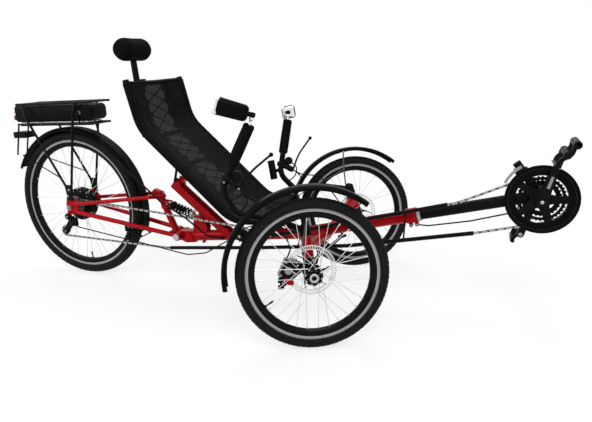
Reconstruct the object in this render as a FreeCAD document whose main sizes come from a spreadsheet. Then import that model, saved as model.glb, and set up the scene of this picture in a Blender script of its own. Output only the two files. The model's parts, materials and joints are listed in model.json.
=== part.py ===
"""Recumbent tricycle with two steered front wheels, one driven rear wheel and a rack battery.

Frame: millimetres, +X forward, +Y to the rider's left, +Z up, origin on the ground under the
middle of the tricycle.  The steering rests turned to the left, as the tricycle was parked.
"""
import FreeCAD, Part
import math
import os

from FreeCAD import Placement, Rotation, Vector

os.makedirs("parts", exist_ok=True)
doc = FreeCAD.newDocument("recumbent_tricycle")
sheet = doc.addObject("Spreadsheet::Sheet", "Sizes")

# name, value (mm or degrees), what it is
SIZES = [
    ("front_axle_x", 355, "front axle ahead of the origin"),
    ("wheelbase", 1173, "front axle to rear axle"),
    ("track", 750, "between the front wheels' middle planes, steering straight"),
    ("gap_fit", 0.05, "radial clearance of a running fit"),
    ("gap_seat", 0.3, "clearance between neighbours on different bodies"),
    ("sliver", 60, "cubic millimetres below which a scrap left by a cut is dropped"),
    # wheels
    ("front_tyre_outer", 476, "front tyre diameter"),
    ("front_tyre_section", 44, "front tyre section"),
    ("rear_tyre_outer", 640, "rear tyre diameter"),
    ("rear_tyre_section", 47, "rear tyre section"),
    ("front_rim_outer", 419, "front rim diameter over its brake track"),
    ("rear_rim_outer", 572, "rear rim diameter over its brake track"),
    ("rim_track_depth", 13, "depth of the machined brake track"),
    ("rim_deep", 30, "whole depth of the rim section"),
    ("rim_wide", 25, "width of the rim at the brake track"),
    ("rim_inner_wide", 15, "width of the rim at the spoke bed"),
    ("spoke_dia", 2.2, "spoke diameter"),
    ("front_spokes", 32, "spokes in a front wheel"),
    ("rear_spokes", 36, "spokes in the rear wheel"),
    # front hubs and brakes
    ("hub_flange_dia", 58, "front hub flange"),
    ("hub_flange_gap", 52, "between the front hub flanges"),
    ("hub_flange_thick", 4, "hub flange thickness"),
    ("hub_barrel_dia", 36, "front hub barrel"),
    ("hub_nose_dia", 30, "outer end of the front hub"),
    ("hub_nose_long", 20, "outer end length"),
    ("stub_dia", 15, "stub axle"),
    ("rotor_dia", 160, "brake rotor"),
    ("rotor_thick", 2.4, "brake rotor thickness"),
    ("rotor_inset", 44, "rotor plane inboard of the wheel's middle plane"),
    # steering geometry
    ("kingpin_back", 11.4, "kingpin behind the front axle at its own height"),
    ("kingpin_inset", 84.7, "kingpin inboard of the wheel's middle plane"),
    ("kingpin_height", 290, "height at which the two offsets are taken"),
    ("kingpin_lean_in", 16.1, "kingpin inclination, degrees"),
    ("caster", 12.5, "caster angle, degrees"),
    ("steer_right", 26.7, "right wheel turned left at rest, degrees"),
    ("steer_left", 29.7, "left wheel turned left at rest, degrees"),
    ("kingpin_dia", 16, "kingpin"),
    ("head_tube_dia", 34, "kingpin head tube"),
    ("head_tube_long", 66, "kingpin head tube length"),
    ("head_tube_low", 22, "head tube's lower end below the reference height, along the pin"),
    # frame
    ("main_tube_dia", 44, "main tube"),
    ("main_bend_x", -150, "bend of the main tube, from the front axle"),
    ("main_bend_z", 243, "height of the bend"),
    ("main_bend_radius", 300, "radius of the bend"),
    ("main_rear_x", -628, "rear end of the main tube"),
    ("main_rear_z", 205, "its height"),
    ("main_front_x", 290, "front end of the main tube"),
    ("main_wall", 3, "main tube wall at the boom socket"),
    ("boom_overlap", 120, "boom inside the main tube"),
    ("collar_dia", 53, "boom clamp collar"),
    ("collar_long", 38, "boom clamp length"),
    ("bottom_bracket_x", 673, "crank axle ahead of the front axle"),
    ("bottom_bracket_z", 418, "crank axle height"),
    ("bb_shell_dia", 41, "bottom bracket shell"),
    ("bb_shell_wide", 70, "bottom bracket shell width"),
    ("post_dia", 28.6, "derailleur post over the bottom bracket"),
    ("post_long", 102, "its length from the crank axle"),
    ("post_head_dia", 25.4, "spigot on the post's top, for an accessory clamp"),
    ("post_head_long", 26.8, "spigot length"),
    ("cross_tube_dia", 36, "cross member tube"),
    ("cross_x", -40, "middle of the cross member, from the front axle"),
    ("cross_z", 245, "height of its middle"),
    ("stay_dia", 49, "big inclined seat stay"),
    ("stay_top_x", -676, "top end of the seat stay"),
    ("stay_top_z", 425, "its height"),
    ("stay_foot_x", -436, "where the stay's axis meets the main tube"),
    ("stay_foot_z", 214, "height there"),
    # swingarm
    ("pivot_x", -671, "swingarm pivot"),
    ("pivot_z", 209, "its height"),
    ("pivot_shell_dia", 36, "pivot shell"),
    ("pivot_half", 32, "half width of the pivot shell"),
    ("fork_plate", 12, "thickness of the swingarm's pivot ears"),
    ("pivot_bolt_dia", 12, "pivot bolt"),
    ("pivot_washer_dia", 27, "silver washer of the pivot bolt"),
    ("dropout_half", 70, "half distance between the dropouts"),
    ("dropout_thick", 6, "dropout plate"),
    ("lower_stay_dia", 19, "lower stay tube"),
    ("brake_share", 0.52, "rear brake's place along the lower stays, as a share from the dropouts"),
    ("upper_stay_dia", 16, "upper stay tube"),
    ("upright_dia", 28, "swingarm upright"),
    # crank
    ("crank_long", 165, "crank arm"),
    ("crank_angle", 17.5, "right crank ahead of the vertical, degrees"),
    ("chain_line", 46, "middle chainring from the middle plane"),
    ("guard_dia", 215, "chain guard"),
    ("ring_large_dia", 196, "large chainring"),
    ("ring_middle_dia", 144, "middle chainring to the chain's inner edge"),
    ("ring_small_dia", 118, "small chainring"),
    ("ring_pitch", 8, "between chainrings"),
    ("ring_thick", 3, "chainring thickness"),
    ("crank_half", 84, "crank arm's middle from the middle plane"),
    ("pedal_long", 96, "pedal platform along the foot"),
    ("pedal_wide", 92, "pedal platform width"),
    ("pedal_thick", 24, "pedal thickness"),
    ("pedal_tilt", 52, "pedal platform tilt, degrees"),
    # chain
    ("chain_wide", 6.4, "chain width"),
    ("chain_tall", 8.0, "chain height"),
    ("chain_tube_dia", 14, "chain guide tube"),
    ("chain_tube_bore", 11.4, "chain guide tube bore"),
    ("ring_line_radius", 77, "chain's middle line round the chainring"),
    ("cog_line_radius", 34, "chain's middle line round the cassette"),
    ("pulley_line_radius", 22, "chain's middle line round the derailleur's pulleys"),
    ("guide_x", -22, "derailleur's upper pulley, from the rear axle"),
    ("guide_z", 258, "its height"),
    ("tension_x", -67, "derailleur's lower pulley, from the rear axle"),
    ("tension_z", 205, "its height"),
    ("idler_rear_x", -372, "idler's rear pulley"),
    ("idler_rear_z", 236, "its height"),
    ("idler_rear_radius", 34, "chain's middle line round it"),
    ("idler_front_x", -290, "idler's front pulley"),
    ("idler_front_z", 262, "its height"),
    ("idler_front_radius", 30, "chain's middle line round it"),
    # seat
    ("rail_half", 174, "half distance between the seat rails"),
    ("rail_dia", 24, "seat rail"),
    ("sling_thick", 4, "seat cloth"),
    ("headrest_dia", 92, "headrest roll"),
    ("headrest_long", 170, "headrest roll length"),
    ("headrest_x", -802, "headrest centre"),
    ("headrest_z", 950, "its height"),
    # rack and battery
    ("rack_half", 62, "half width of the rack"),
    ("rack_rod", 10, "rack rod"),
    ("deck_front_x", 173, "front of the rack's decks, from the rear axle"),
    ("deck_rear_x", -213, "rear of the rack's decks, from the rear axle"),
    ("deck_top_z", 760, "upper deck rods"),
    ("deck_low_z", 673, "lower deck rods"),
    ("battery_wide", 104, "battery width"),
    ("battery_rear_x", -254, "rear of the battery, from the rear axle"),
    ("battery_low", 684, "battery underside"),
    ("battery_top", 755, "battery top"),
    # fenders
    ("rear_fender_radius", 333, "rear fender inner radius"),
    ("front_fender_radius", 273, "front fender inner radius"),
    ("fender_start_right", 58, "degrees from forward to the right front fender's front end"),
    ("fender_start_left", 42, "the same on the left, where the fender sits turned forwards"),
    ("fender_sweep", 136, "degrees that a front fender covers"),
    ("fender_thick", 3, "fender wall"),
    ("rear_fender_wide", 60, "rear fender width"),
    ("front_fender_wide", 58, "front fender width"),
    # bars
    ("bar_dia", 22.2, "handlebar tube"),
    ("bar_bend", 55, "handlebar bend radius"),
    ("grip_dia", 35, "foam grip"),
    ("grip_long", 132, "foam grip length"),
    ("mirror_long", 106, "mirror body length"),
    ("mirror_tall", 55, "mirror body height"),
    ("mirror_deep", 60, "mirror body width"),
    ("hose_dia", 5, "brake hose"),
    # steering linkage
    ("tie_eye_x", -86, "tie rod pivot, from the front axle, steering straight"),
    ("tie_eye_y", 285, "its distance from the middle plane"),
    ("tie_eye_z", 160, "its height"),
    ("tie_drop", 20, "pivot below the steering arm's eye"),
    ("tie_axis_x", -0.1358, "lean of the right pivot's axis at rest, X per unit of height"),
    ("tie_axis_y", 0.3233, "the same along Y"),
    ("tie_rod_dia", 12, "tie rod"),
    ("tie_pin_dia", 8, "pins of the tie rod"),
    ("tie_play", 8.5, "radial play of the open pivot at the left stud"),
]
for row, (alias, value, note) in enumerate(SIZES, start=1):
    sheet.set(f"A{row}", note)
    sheet.set(f"B{row}", str(value))
    sheet.setAlias(f"B{row}", alias)
doc.recompute()


def size(name):
    """Value of a named cell, as a number."""
    return float(sheet.get(name))


NODES = {}          # label -> document object, in export order
AXIS_X, AXIS_Y, AXIS_Z = Vector(1, 0, 0), Vector(0, 1, 0), Vector(0, 0, 1)
FX = size("front_axle_x")
SIDES = (("right", -1), ("left", 1))


def point(x, y, z):
    """A point given from the front axle's middle on the ground."""
    return Vector(FX + x, y, z)


# ---------------------------------------------------------------- shape helpers
def rod(a, b, dia, dia_end=None):
    """Solid round bar, or cone frustum, between two points."""
    along = b - a
    if dia_end is None or abs(dia_end - dia) < 1e-6:
        return Part.makeCylinder(dia / 2, along.Length, a, along)
    return Part.makeCone(dia / 2, dia_end / 2, along.Length, a, along)


def rounded_wire(points, radii):
    """Open wire of straight runs joined by tangent arcs; one radius, or one per inner point."""
    if not isinstance(radii, (list, tuple)):
        radii = [radii] * (len(points) - 2)
    edges, start = [], points[0]
    for before, corner, after, radius in zip(points, points[1:], points[2:], radii):
        back, ahead = (before - corner).normalize(), (after - corner).normalize()
        half = back.getAngle(ahead) / 2
        reach = radius / math.tan(half)
        first, last = corner + back * reach, corner + ahead * reach
        to_centre = (back + ahead).normalize() * (radius / math.sin(half))
        centre = corner + to_centre
        middle = centre - to_centre.normalize() * radius
        if (first - start).Length > 1e-6:
            edges.append(Part.LineSegment(start, first).toShape())
        edges.append(Part.Arc(first, middle, last).toShape())
        start = last
    edges.append(Part.LineSegment(start, points[-1]).toShape())
    return Part.Wire(edges)


def bent_rod(points, dia, radii):
    """Round bar along straight runs joined by arcs."""
    wire = rounded_wire(points, radii)
    profile = Part.Wire([Part.makeCircle(dia / 2, points[0], points[1] - points[0])])
    return wire.makePipeShell([profile], True, False)


def plate(points, thick, normal=AXIS_Y):
    """Flat plate: a closed outline of points, thickened evenly both ways along its normal."""
    face = Part.Face(Part.makePolygon(points + [points[0]]))
    step = Vector(normal).normalize() * thick
    solid = face.extrude(step)
    solid.translate(step * -0.5)
    return solid


def turned(profile, centre, axis, start=0.0, sweep=360.0):
    """Solid of revolution about an axis through the centre.

    profile: (radius, along) pairs of a closed outline; start and sweep in degrees.
    """
    spin = Rotation(AXIS_Z, Vector(axis))
    face = Part.Face(Part.makePolygon([Vector(r, 0, a) for r, a in profile + [profile[0]]]))
    solid = face.revolve(Vector(0, 0, 0), AXIS_Z, sweep)
    solid.rotate(Vector(0, 0, 0), AXIS_Z, start)
    solid.Placement = Placement(Vector(centre), spin).multiply(solid.Placement)
    return solid


def fused(shapes):
    """One solid from overlapping ones."""
    whole = shapes[0].fuse(shapes[1:]) if len(shapes) > 1 else shapes[0]
    return whole.removeSplitter()


def node(label, shape):
    """Keep a shape as a labelled sub-part."""
    solids = [solid for solid in shape.Solids if solid.Volume > size("sliver")]
    shape = solids[0] if len(solids) == 1 else Part.makeCompound(solids)
    part = doc.addObject("Part::Feature", label)
    part.Label = label
    part.Shape = shape
    NODES[label] = part
    return part


def primitive(kind, name, **sizes):
    """A Part primitive whose sizes are expressions on the sheet."""
    part = doc.addObject(f"Part::{kind}", name)
    for prop, expression in sizes.items():
        part.setExpression(prop, expression)
    return part


def boolean(kind, label, base, tool):
    """Part::Cut, Part::Fuse or Part::Common of two document objects."""
    part = doc.addObject(f"Part::{kind}", label)
    part.Label = label
    part.Base, part.Tool = base, tool
    return part


# ---------------------------------------------------------------- steering geometry
class Corner:
    """One front corner: its kingpin axis and the turn that brings it to rest."""

    def __init__(self, name, side):
        self.name, self.side = name, side
        lean = math.tan(math.radians(size("kingpin_lean_in")))
        trail = math.tan(math.radians(size("caster")))
        self.axis = Vector(-trail, -side * lean, 1).normalize()
        tyre, section = size("front_tyre_outer") / 2, size("front_tyre_section") / 2
        self.hub = point(0, side * size("track") / 2, tyre)
        self.pin = point(-size("kingpin_back"), side * (size("track") / 2 - size("kingpin_inset")),
                         size("kingpin_height"))
        turn = Rotation(self.axis, size(f"steer_{name}"))
        out = turn.multVec(Vector(0, side, 0))
        centre = self.pin + turn.multVec(self.hub - self.pin)
        stand = (tyre - section) * math.sqrt(1 - out.z ** 2) + section
        self.lift = Vector(0, 0, stand - centre.z)      # sets the turned tyre on the ground
        self.pin, self.hub = self.pin + self.lift, self.hub + self.lift
        self.rest = Placement(self.pin - turn.multVec(self.pin), turn)
        self.wheel_centre, self.wheel_out = centre + self.lift, out
        self.pivot = self.rest.multVec(self.at(size("tie_eye_x"), size("tie_eye_y"), size("tie_eye_z")))
        lean = Vector(size("tie_axis_x"), size("tie_axis_y"), 1).normalize()
        self.pivot_axis = lean if name == "right" else turn.multVec(Vector(0, 0, 1))

    def at(self, x, y, z):
        """Point from the front axle, y measured outwards, lifted with this corner."""
        return point(x, self.side * y, z) + self.lift

    def inboard(self, x, gap, z):
        """Point at a distance inwards from the wheel's middle plane, lifted with this corner."""
        return self.at(x, size("track") / 2 - gap, z)

    def along(self, distance):
        """Point on the kingpin axis."""
        return self.pin + self.axis * distance

    def keep(self, label, shape):
        """Keep a shape made with the steering straight, turned to rest."""
        shape = shape.copy()
        shape.Placement = self.rest.multiply(shape.Placement)
        return node(label, shape)


CORNERS = [Corner(name, side) for name, side in SIDES]
REAR = point(-size("wheelbase"), 0, size("rear_tyre_outer") / 2)
CRANK = point(size("bottom_bracket_x"), 0, size("bottom_bracket_z"))
PIVOT = point(size("pivot_x"), 0, size("pivot_z"))


def tail(x, y, z):
    """A point given from the rear axle's middle on the ground."""
    return Vector(REAR.x + x, y, z)


POST_WAY = Vector(-76, 0, 104).normalize()      # the post leans back from the crank axle


# ---------------------------------------------------------------- main frame
def main_line(x):
    """Point on the main tube's and boom's common line, ahead of the bend."""
    bend = point(size("main_bend_x"), 0, size("main_bend_z"))
    share = (FX + x - bend.x) / (CRANK.x - bend.x)
    return bend + (CRANK - bend) * share


def main_foot(x):
    """Point on the main tube's line behind the bend."""
    rear, bend = size("main_rear_x"), size("main_bend_x")
    share = (x - rear) / (bend - rear)
    return point(x, 0, size("main_rear_z") + share * (size("main_bend_z") - size("main_rear_z")))


def make_main_tube():
    dia = size("main_tube_dia")
    front, rear = main_line(size("main_front_x")), point(size("main_rear_x"), 0, size("main_rear_z"))
    bend = point(size("main_bend_x"), 0, size("main_bend_z"))
    ahead = (CRANK - bend).normalize()
    tube = bent_rod([rear, bend, front], dia, size("main_bend_radius"))
    collar = rod(front - ahead * size("collar_long"), front, size("collar_dia"))
    shell = rod(PIVOT - AXIS_Y * size("pivot_half"), PIVOT + AXIS_Y * size("pivot_half"),
                size("pivot_shell_dia"))
    boss_half, boss_dia = 26, 34
    boss_at = rear + (bend - rear).normalize() * 4
    boss = turned([(0, -boss_half), (boss_dia / 2, -boss_half), (boss_dia / 2, boss_half), (0, boss_half)],
                  boss_at, AXIS_Y)
    ears = []
    for x in (-8, -28):
        low = front + ahead * x + Vector(ahead.z, 0, -ahead.x) * 33
        ears.append(rod(low - AXIS_Y * 9, low + AXIS_Y * 9, 13))
        ears.append(plate([low + Vector(-6, 0, 0), low + Vector(6, 0, 0), front + ahead * x + Vector(6, 0, 0),
                           front + ahead * x + Vector(-6, 0, 0)], 14))
    gusset = []
    for y in (-15, 15):
        gusset.append(plate([point(x, y, z) for x, z in
                             ((-606, 210), (-548, 214), (-540, 246), (-562, 298), (-590, 298), (-600, 268))], 6))
    yoke = plate([point(x, 0, z) for x, z in
                  ((-684, 220), (-664, 228), (-596, 231), (-596, 184), (-640, 180), (-680, 196))], 40)
    lug = rod(point(-568, -8, 183), point(-568, 8, 183), 10)
    lug_web = plate([point(-576, 0, 200), point(-560, 0, 200), point(-564, 0, 180), point(-572, 0, 180)], 10)
    whole = fused([tube, collar, shell, boss, yoke] + ears + gusset + [lug, lug_web])
    socket = rod(front - ahead * (size("boom_overlap") + 5), front + ahead * 5,
                 size("main_tube_dia") - 2 * size("main_wall"))
    bolt_hole = rod(PIVOT - AXIS_Y * 60, PIVOT + AXIS_Y * 60, size("pivot_bolt_dia") + 2 * size("gap_fit"))
    eye_hole = rod(point(-575, -30, 284), point(-575, 30, 284), 8.1)
    return node("main_tube", whole.cut([socket, bolt_hole, eye_hole]))


def make_seat_stay():
    top, foot = point(size("stay_top_x"), 0, size("stay_top_z")), point(size("stay_foot_x"), 0, size("stay_foot_z"))
    tube = rod(foot, top, size("stay_dia"))
    along = (top - foot).normalize()
    ears = []
    for y in (-20, 20):
        base = top - along * 14
        ears.append(plate([base + Vector(-6, y, -14), base + Vector(26, y, -2), base + Vector(18, y, 34),
                           base + Vector(0, y, 34)], 6))
    bracket = plate([top + Vector(18, 0, -16), top + Vector(66, 0, 22), top + Vector(62, 0, 30),
                     top + Vector(6, 0, 4)], 34)
    whole = fused([tube] + ears + [bracket])
    bolt = rod(point(-656, -40, 440), point(-656, 40, 440), 8 + 2 * size("gap_fit"))
    return node("seat_stay", whole.cut([NODES["main_tube"].Shape, bolt]))


def make_cross_member():
    pieces, holes = [], []
    middle = point(size("cross_x"), 0, size("cross_z"))
    for corner in CORNERS:
        low, high = corner.along(-size("head_tube_low")), corner.along(size("head_tube_long") - size("head_tube_low"))
        pieces.append(rod(low, high, size("head_tube_dia")))
        end = corner.along(size("head_tube_long") / 2 - size("head_tube_low"))
        pieces.append(rod(middle, end, size("cross_tube_dia")))
        holes.append(rod(corner.along(-80), corner.along(120), size("kingpin_dia") + 2 * size("gap_fit")))
    whole = fused(pieces)
    clear = rod(main_line(-150), main_line(150), size("main_tube_dia"))
    return node("cross_member", whole.cut([clear] + holes))


def make_boom():
    dia = size("main_tube_dia") - 2 * size("main_wall") - 2 * size("gap_fit")
    bend = point(size("main_bend_x"), 0, size("main_bend_z"))
    ahead = (CRANK - bend).normalize()
    start = main_line(size("main_front_x")) - ahead * size("boom_overlap")
    tube = rod(start, CRANK, dia)
    half = size("bb_shell_wide") / 2
    shell = rod(CRANK - AXIS_Y * half, CRANK + AXIS_Y * half, size("bb_shell_dia"))
    shoulder = CRANK + POST_WAY * size("post_long")
    post = rod(CRANK, shoulder, size("post_dia"))
    head = rod(shoulder, shoulder + POST_WAY * size("post_head_long"), size("post_head_dia"))
    hole = rod(CRANK - AXIS_Y * 60, CRANK + AXIS_Y * 60, 24.1)
    return node("boom", fused([tube, shell, post, head]).cut(hole))


# ---------------------------------------------------------------- swingarm and shock
def lower_stay(side):
    """Ends of a lower stay: at the dropout and at the pivot's ear."""
    ear = size("pivot_half") + size("gap_seat") + size("fork_plate") / 2
    return REAR + Vector(26, side * size("dropout_half"), -18), PIVOT + Vector(-12, side * ear, 6)


def make_swingarm():
    half, inner = size("dropout_half"), size("pivot_half") + size("gap_seat")
    ear = inner + size("fork_plate") / 2
    pieces = []
    for side in (-1, 1):
        drop = REAR + AXIS_Y * side * half
        pieces.append(rod(*lower_stay(side), size("lower_stay_dia")))
        pieces.append(rod(drop + Vector(28, 0, 14), point(-772, side * 42, 372), size("upper_stay_dia")))
        pieces.append(rod(point(-772, side * 42, 372), point(-742, side * 8, 366), size("upper_stay_dia")))
        pieces.append(plate([drop + Vector(x, 0, z) for x, z in
                             ((-16, -24), (10, -30), (42, -24), (44, 22), (16, 52), (-8, 50), (-18, 10))],
                            size("dropout_thick")))
        pieces.append(rod(PIVOT + AXIS_Y * side * inner, PIVOT + AXIS_Y * side * (inner + size("fork_plate")), 34))
    yoke = PIVOT + Vector(-27, 0, 14)
    pieces.append(rod(yoke - AXIS_Y * ear, yoke + AXIS_Y * ear, 20))
    pieces.append(rod(yoke, point(-757, 0, 378), size("upright_dia")))
    head = plate([point(x, 0, z) for x, z in ((-772, 366), (-745, 362), (-754, 390), (-778, 398), (-788, 386))], 22)
    pieces.append(head)
    for y in (-14, 14):
        pieces.append(plate([point(x, y, z) for x, z in ((-744, 318), (-748, 352), (-710, 347), (-706, 324))], 6))
    whole = fused(pieces)
    bolt = rod(PIVOT - AXIS_Y * 60, PIVOT + AXIS_Y * 60, size("pivot_bolt_dia") + 2 * size("gap_fit"))
    axle = rod(REAR - AXIS_Y * 90, REAR + AXIS_Y * 90, 12.1)
    eye = rod(point(-718, -30, 336), point(-718, 30, 336), 8.1)
    shell = rod(PIVOT - AXIS_Y * inner, PIVOT + AXIS_Y * inner, size("pivot_shell_dia") + 2 * size("gap_seat"))
    caps = [rod(PIVOT + AXIS_Y * side * (inner + size("fork_plate")), PIVOT + AXIS_Y * side * 60,
                size("pivot_washer_dia") + 1) for side in (-1, 1)]
    shock_eye = rod(point(-718, -10.8, 336), point(-718, 10.8, 336), 19.2)
    return node("swingarm", whole.cut([bolt, axle, eye, shell, shock_eye] + caps))


def make_pivot_bolt():
    reach = size("pivot_half") + size("gap_seat") + size("fork_plate") + 0.1
    shaft = rod(PIVOT - AXIS_Y * reach, PIVOT + AXIS_Y * reach, size("pivot_bolt_dia"))
    caps = [rod(PIVOT + AXIS_Y * side * reach, PIVOT + AXIS_Y * side * (reach + 5), size("pivot_washer_dia"))
            for side in (-1, 1)]
    return node("pivot_bolt", fused([shaft] + caps))


def make_shock():
    """Coil shock: one turned body with a ridge for each coil, and an eye and pin at each end."""
    rear, front = point(-718, 0, 336), point(-575, 0, 284)
    along = front - rear
    rod_r, seat_r, core_r, coil_r, coils = 8, 20, 13, 19.5, 6
    first, last = 25.0, along.Length - 36.0
    pitch = (last - first) / coils
    outline = [(0, 0), (rod_r, 0), (rod_r, first - 6), (seat_r, first - 6), (seat_r, first - 1)]
    for coil in range(coils):
        at = first + pitch * coil
        outline += [(core_r, at), (coil_r, at + pitch * 0.25), (coil_r, at + pitch * 0.65), (core_r, at + pitch * 0.9)]
    outline += [(core_r, last), (seat_r, last), (seat_r, last + 6), (rod_r, last + 6), (rod_r, along.Length),
                (0, along.Length)]
    ends = [rod(end - AXIS_Y * half, end + AXIS_Y * half, dia) for end in (rear, front)
            for half, dia in ((10.5, 18.5), (19.5, 8))]
    node("shock", fused([turned(outline, rear, along)] + ends))


# ---------------------------------------------------------------- seat
SEAT_LINE = ((-719, 838), (-681, 664), (-335, 332), (-212, 338))   # rail, side view
SEAT_RADII = (150, 120)


def seat_points(y):
    """Rail points at a distance from the middle plane."""
    return [point(x, y, z) for x, z in SEAT_LINE]


def make_seat_frame():
    pieces = []
    half, dia = size("rail_half"), size("rail_dia")
    for side in (-1, 1):
        pieces.append(bent_rod(seat_points(side * half), dia, list(SEAT_RADII)))
    top = [point(-717, -half, 826), point(-768, -70, 822), point(-768, 70, 822), point(-717, half, 826)]
    pieces.append(bent_rod(top, 20, 45))
    for x, z, sag in ((-668, 640, 26), (-548, 532, 26), (-415, 416, 26), (-230, 337, 20)):
        back = Vector(-sag * 0.7, 0, -sag * 0.7)
        pieces.append(bent_rod([point(x, -half, z), point(x, -70, z) + back, point(x, 70, z) + back,
                                point(x, half, z)], 18, 40))
    return node("seat_frame", fused(pieces))


def make_seat_sling():
    """Cloth stretched between the rails, above the crossbars."""
    half = size("rail_half") - size("rail_dia") / 2 - 0.6
    line = seat_points(-half)
    across = (line[1] - line[0]).normalize().cross(AXIS_Y).normalize() * (size("sling_thick") / 2)
    start, wide = line[0], AXIS_Y * 2 * half
    profile = Part.makePolygon([start + across, start + across + wide, start - across + wide,
                                start - across, start + across])
    cloth = rounded_wire(line, list(SEAT_RADII)).makePipeShell([profile], True, False)
    node("seat_sling", cloth.cut(NODES["seat_frame"].Shape))


def make_headrest():
    centre = point(size("headrest_x"), 0, size("headrest_z"))
    dia, half = size("headrest_dia"), size("headrest_long") / 2
    r = dia / 2
    profile = [(0, -half), (r * 0.62, -half), (r * 0.88, -half + 9), (r, -half + 28), (r * 0.94, 0),
               (r, half - 28), (r * 0.88, half - 9), (r * 0.62, half), (0, half)]
    pad = turned(profile, centre, AXIS_Y)
    low, high = point(-797, 0, 760), centre + Vector(-4, 0, -20)
    post = fused([rod(low, high, 19), plate([point(-800, 0, 800), point(-770, 0, 806), point(-770, 0, 838),
                                             point(-800, 0, 838)], 34)])
    bar = rod(point(-768, -120, 822), point(-768, 120, 822), 21)
    node("headrest_post", post.cut([pad, bar]))
    return node("headrest_pad", pad)


def make_seat_mounts():
    """Links at the seat back and the post under the pan."""
    low, high = point(-656, 0, 440), point(-640, 0, 498)
    bar = point(-566, 0, 514)
    pieces = [rod(low - AXIS_Y * 36, low + AXIS_Y * 36, 8), rod(high - AXIS_Y * 36, high + AXIS_Y * 36, 11)]
    for y in (-30, 30):
        across = AXIS_Y * y
        pieces += [rod(low + across, high + across, 10), rod(high + across, bar + across, 13)]
    links = fused(pieces).cut([NODES["seat_stay"].Shape, NODES["seat_frame"].Shape])
    node("seat_links", links)
    foot = main_foot(-236)
    post = fused([rod(foot, point(-240, 0, 324), 26), plate([point(-274, 0, 312), point(-274, 0, 322),
                                                             point(-212, 0, 330), point(-212, 0, 318)], 60)])
    node("seat_post", post.cut([NODES["seat_frame"].Shape, NODES["main_tube"].Shape, NODES["seat_sling"].Shape]))


# ---------------------------------------------------------------- rack, battery, rear fender
def make_rack():
    half, rod_dia = size("rack_half"), size("rack_rod")
    top, low, front, rear = size("deck_top_z"), size("deck_low_z"), size("deck_front_x"), size("deck_rear_x")
    pieces = []
    for z, inset in ((top, 0), (low, 10)):
        y = half - inset
        for side in (-1, 1):
            pieces.append(rod(tail(rear, side * y, z), tail(front, side * y, z), rod_dia))
        for x in (rear + 5, -107, 113, front - 5):
            pieces.append(rod(tail(x, -y, z), tail(x, y, z), rod_dia * 0.8))
    for side in (-1, 1):
        y = side * half
        out = side * (half + 14)
        pieces.append(bent_rod([tail(107, y, top), tail(99, out, top - 40), tail(21, out, 372)],
                               rod_dia, 20))
        pieces.append(bent_rod([tail(-179, y, top), tail(-159, out, top - 50), tail(5, out, 404)],
                               rod_dia, 20))
        pieces.append(plate([tail(-5, out, 420), tail(33, out, 420), tail(27, out, 352),
                             tail(3, out, 352)], 6))
        pieces.append(rod(tail(13, out, 362), tail(13, side * (size("dropout_half") + 3), 362), 12))
        pieces.append(rod(tail(75, side * (half - 10), low), tail(75, out, low), 8))
        pieces.append(rod(tail(-127, side * (half - 10), low), tail(-141, out, low), 8))
        pieces.append(rod(tail(105, side * (half - 10), low), tail(105, side * half, top), 6))
    return node("rack", fused(pieces))


def make_battery():
    front, rear = size("deck_front_x") - 4, size("battery_rear_x")
    low, top, half = size("battery_low"), size("battery_top"), size("battery_wide") / 2
    middle = (low + top) / 2
    case = Part.makeBox(front - 30 - rear, 2 * half, top - low, tail(rear, -half, low))
    nose = rod(tail(front - 33, -half, middle), tail(front - 33, half, middle), top - low)
    rail = Part.makeBox(front - 60 - rear, 2 * half - 20, 5.0, tail(rear, -half + 10, low - 5.0))
    case = case.makeFillet(9, [e for e in case.Edges if abs(e.tangentAt(e.FirstParameter).x) > 0.9])
    return node("battery", fused([case, nose, rail]).cut(NODES["rack"].Shape))


def fender_arc(centre, axis, radius, wide, start, sweep):
    """Curved fender shell with rolled-down sides."""
    wall, lip = size("fender_thick"), 12
    half = wide / 2
    profile = [(radius, -half), (radius - lip, -half), (radius - lip, -half + wall),
               (radius, -half + wall + 5), (radius, half - wall - 5), (radius - lip, half - wall),
               (radius - lip, half), (radius, half), (radius + wall + 2, half - 9),
               (radius + wall + 2, -half + 9)]
    return turned(profile, centre, axis, start, sweep)


def make_rear_fender():
    # the turn runs about -Y, so that angles count up from +X through +Z
    shell = fender_arc(REAR, Vector(0, -1, 0), size("rear_fender_radius"), size("rear_fender_wide"), -18, 169)
    wide = size("rear_fender_wide") / 2 + 2
    stays = [rod(tail(-258, side * wide, 538), tail(-24, side * 76, 452), 5) for side in (-1, 1)]
    stays.append(rod(tail(-258, -wide, 538), tail(-258, wide, 538), 5))
    node("rear_fender", fused([shell] + stays).cut(NODES["rack"].Shape))
    posts = [rod(tail(-257, y, size("deck_low_z")), tail(-296, y, 539), 7) for y in (-26, 26)]
    posts += [rod(tail(size("deck_rear_x") + 6, y, size("deck_low_z")), tail(-261, y, size("deck_low_z")), 8)
              for y in (-26, 26)]
    posts.append(plate([tail(-297, 0, 614), tail(-231, 0, 614), tail(-231, 0, 640), tail(-297, 0, 640)], 56))
    node("tail_bracket", fused(posts).cut([NODES["rack"].Shape, NODES["battery"].Shape]))


# ---------------------------------------------------------------- wheels
def rim_profile(outer):
    half, inner = size("rim_wide") / 2, size("rim_inner_wide") / 2
    track, deep = size("rim_track_depth"), size("rim_deep")
    return [(outer / 2, -half), (outer / 2, half), (outer / 2 - track, half), (outer / 2 - deep + 5, inner),
            (outer / 2 - deep, inner - 3), (outer / 2 - deep, -inner + 3), (outer / 2 - deep + 5, -inner),
            (outer / 2 - track, -half)]


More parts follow.
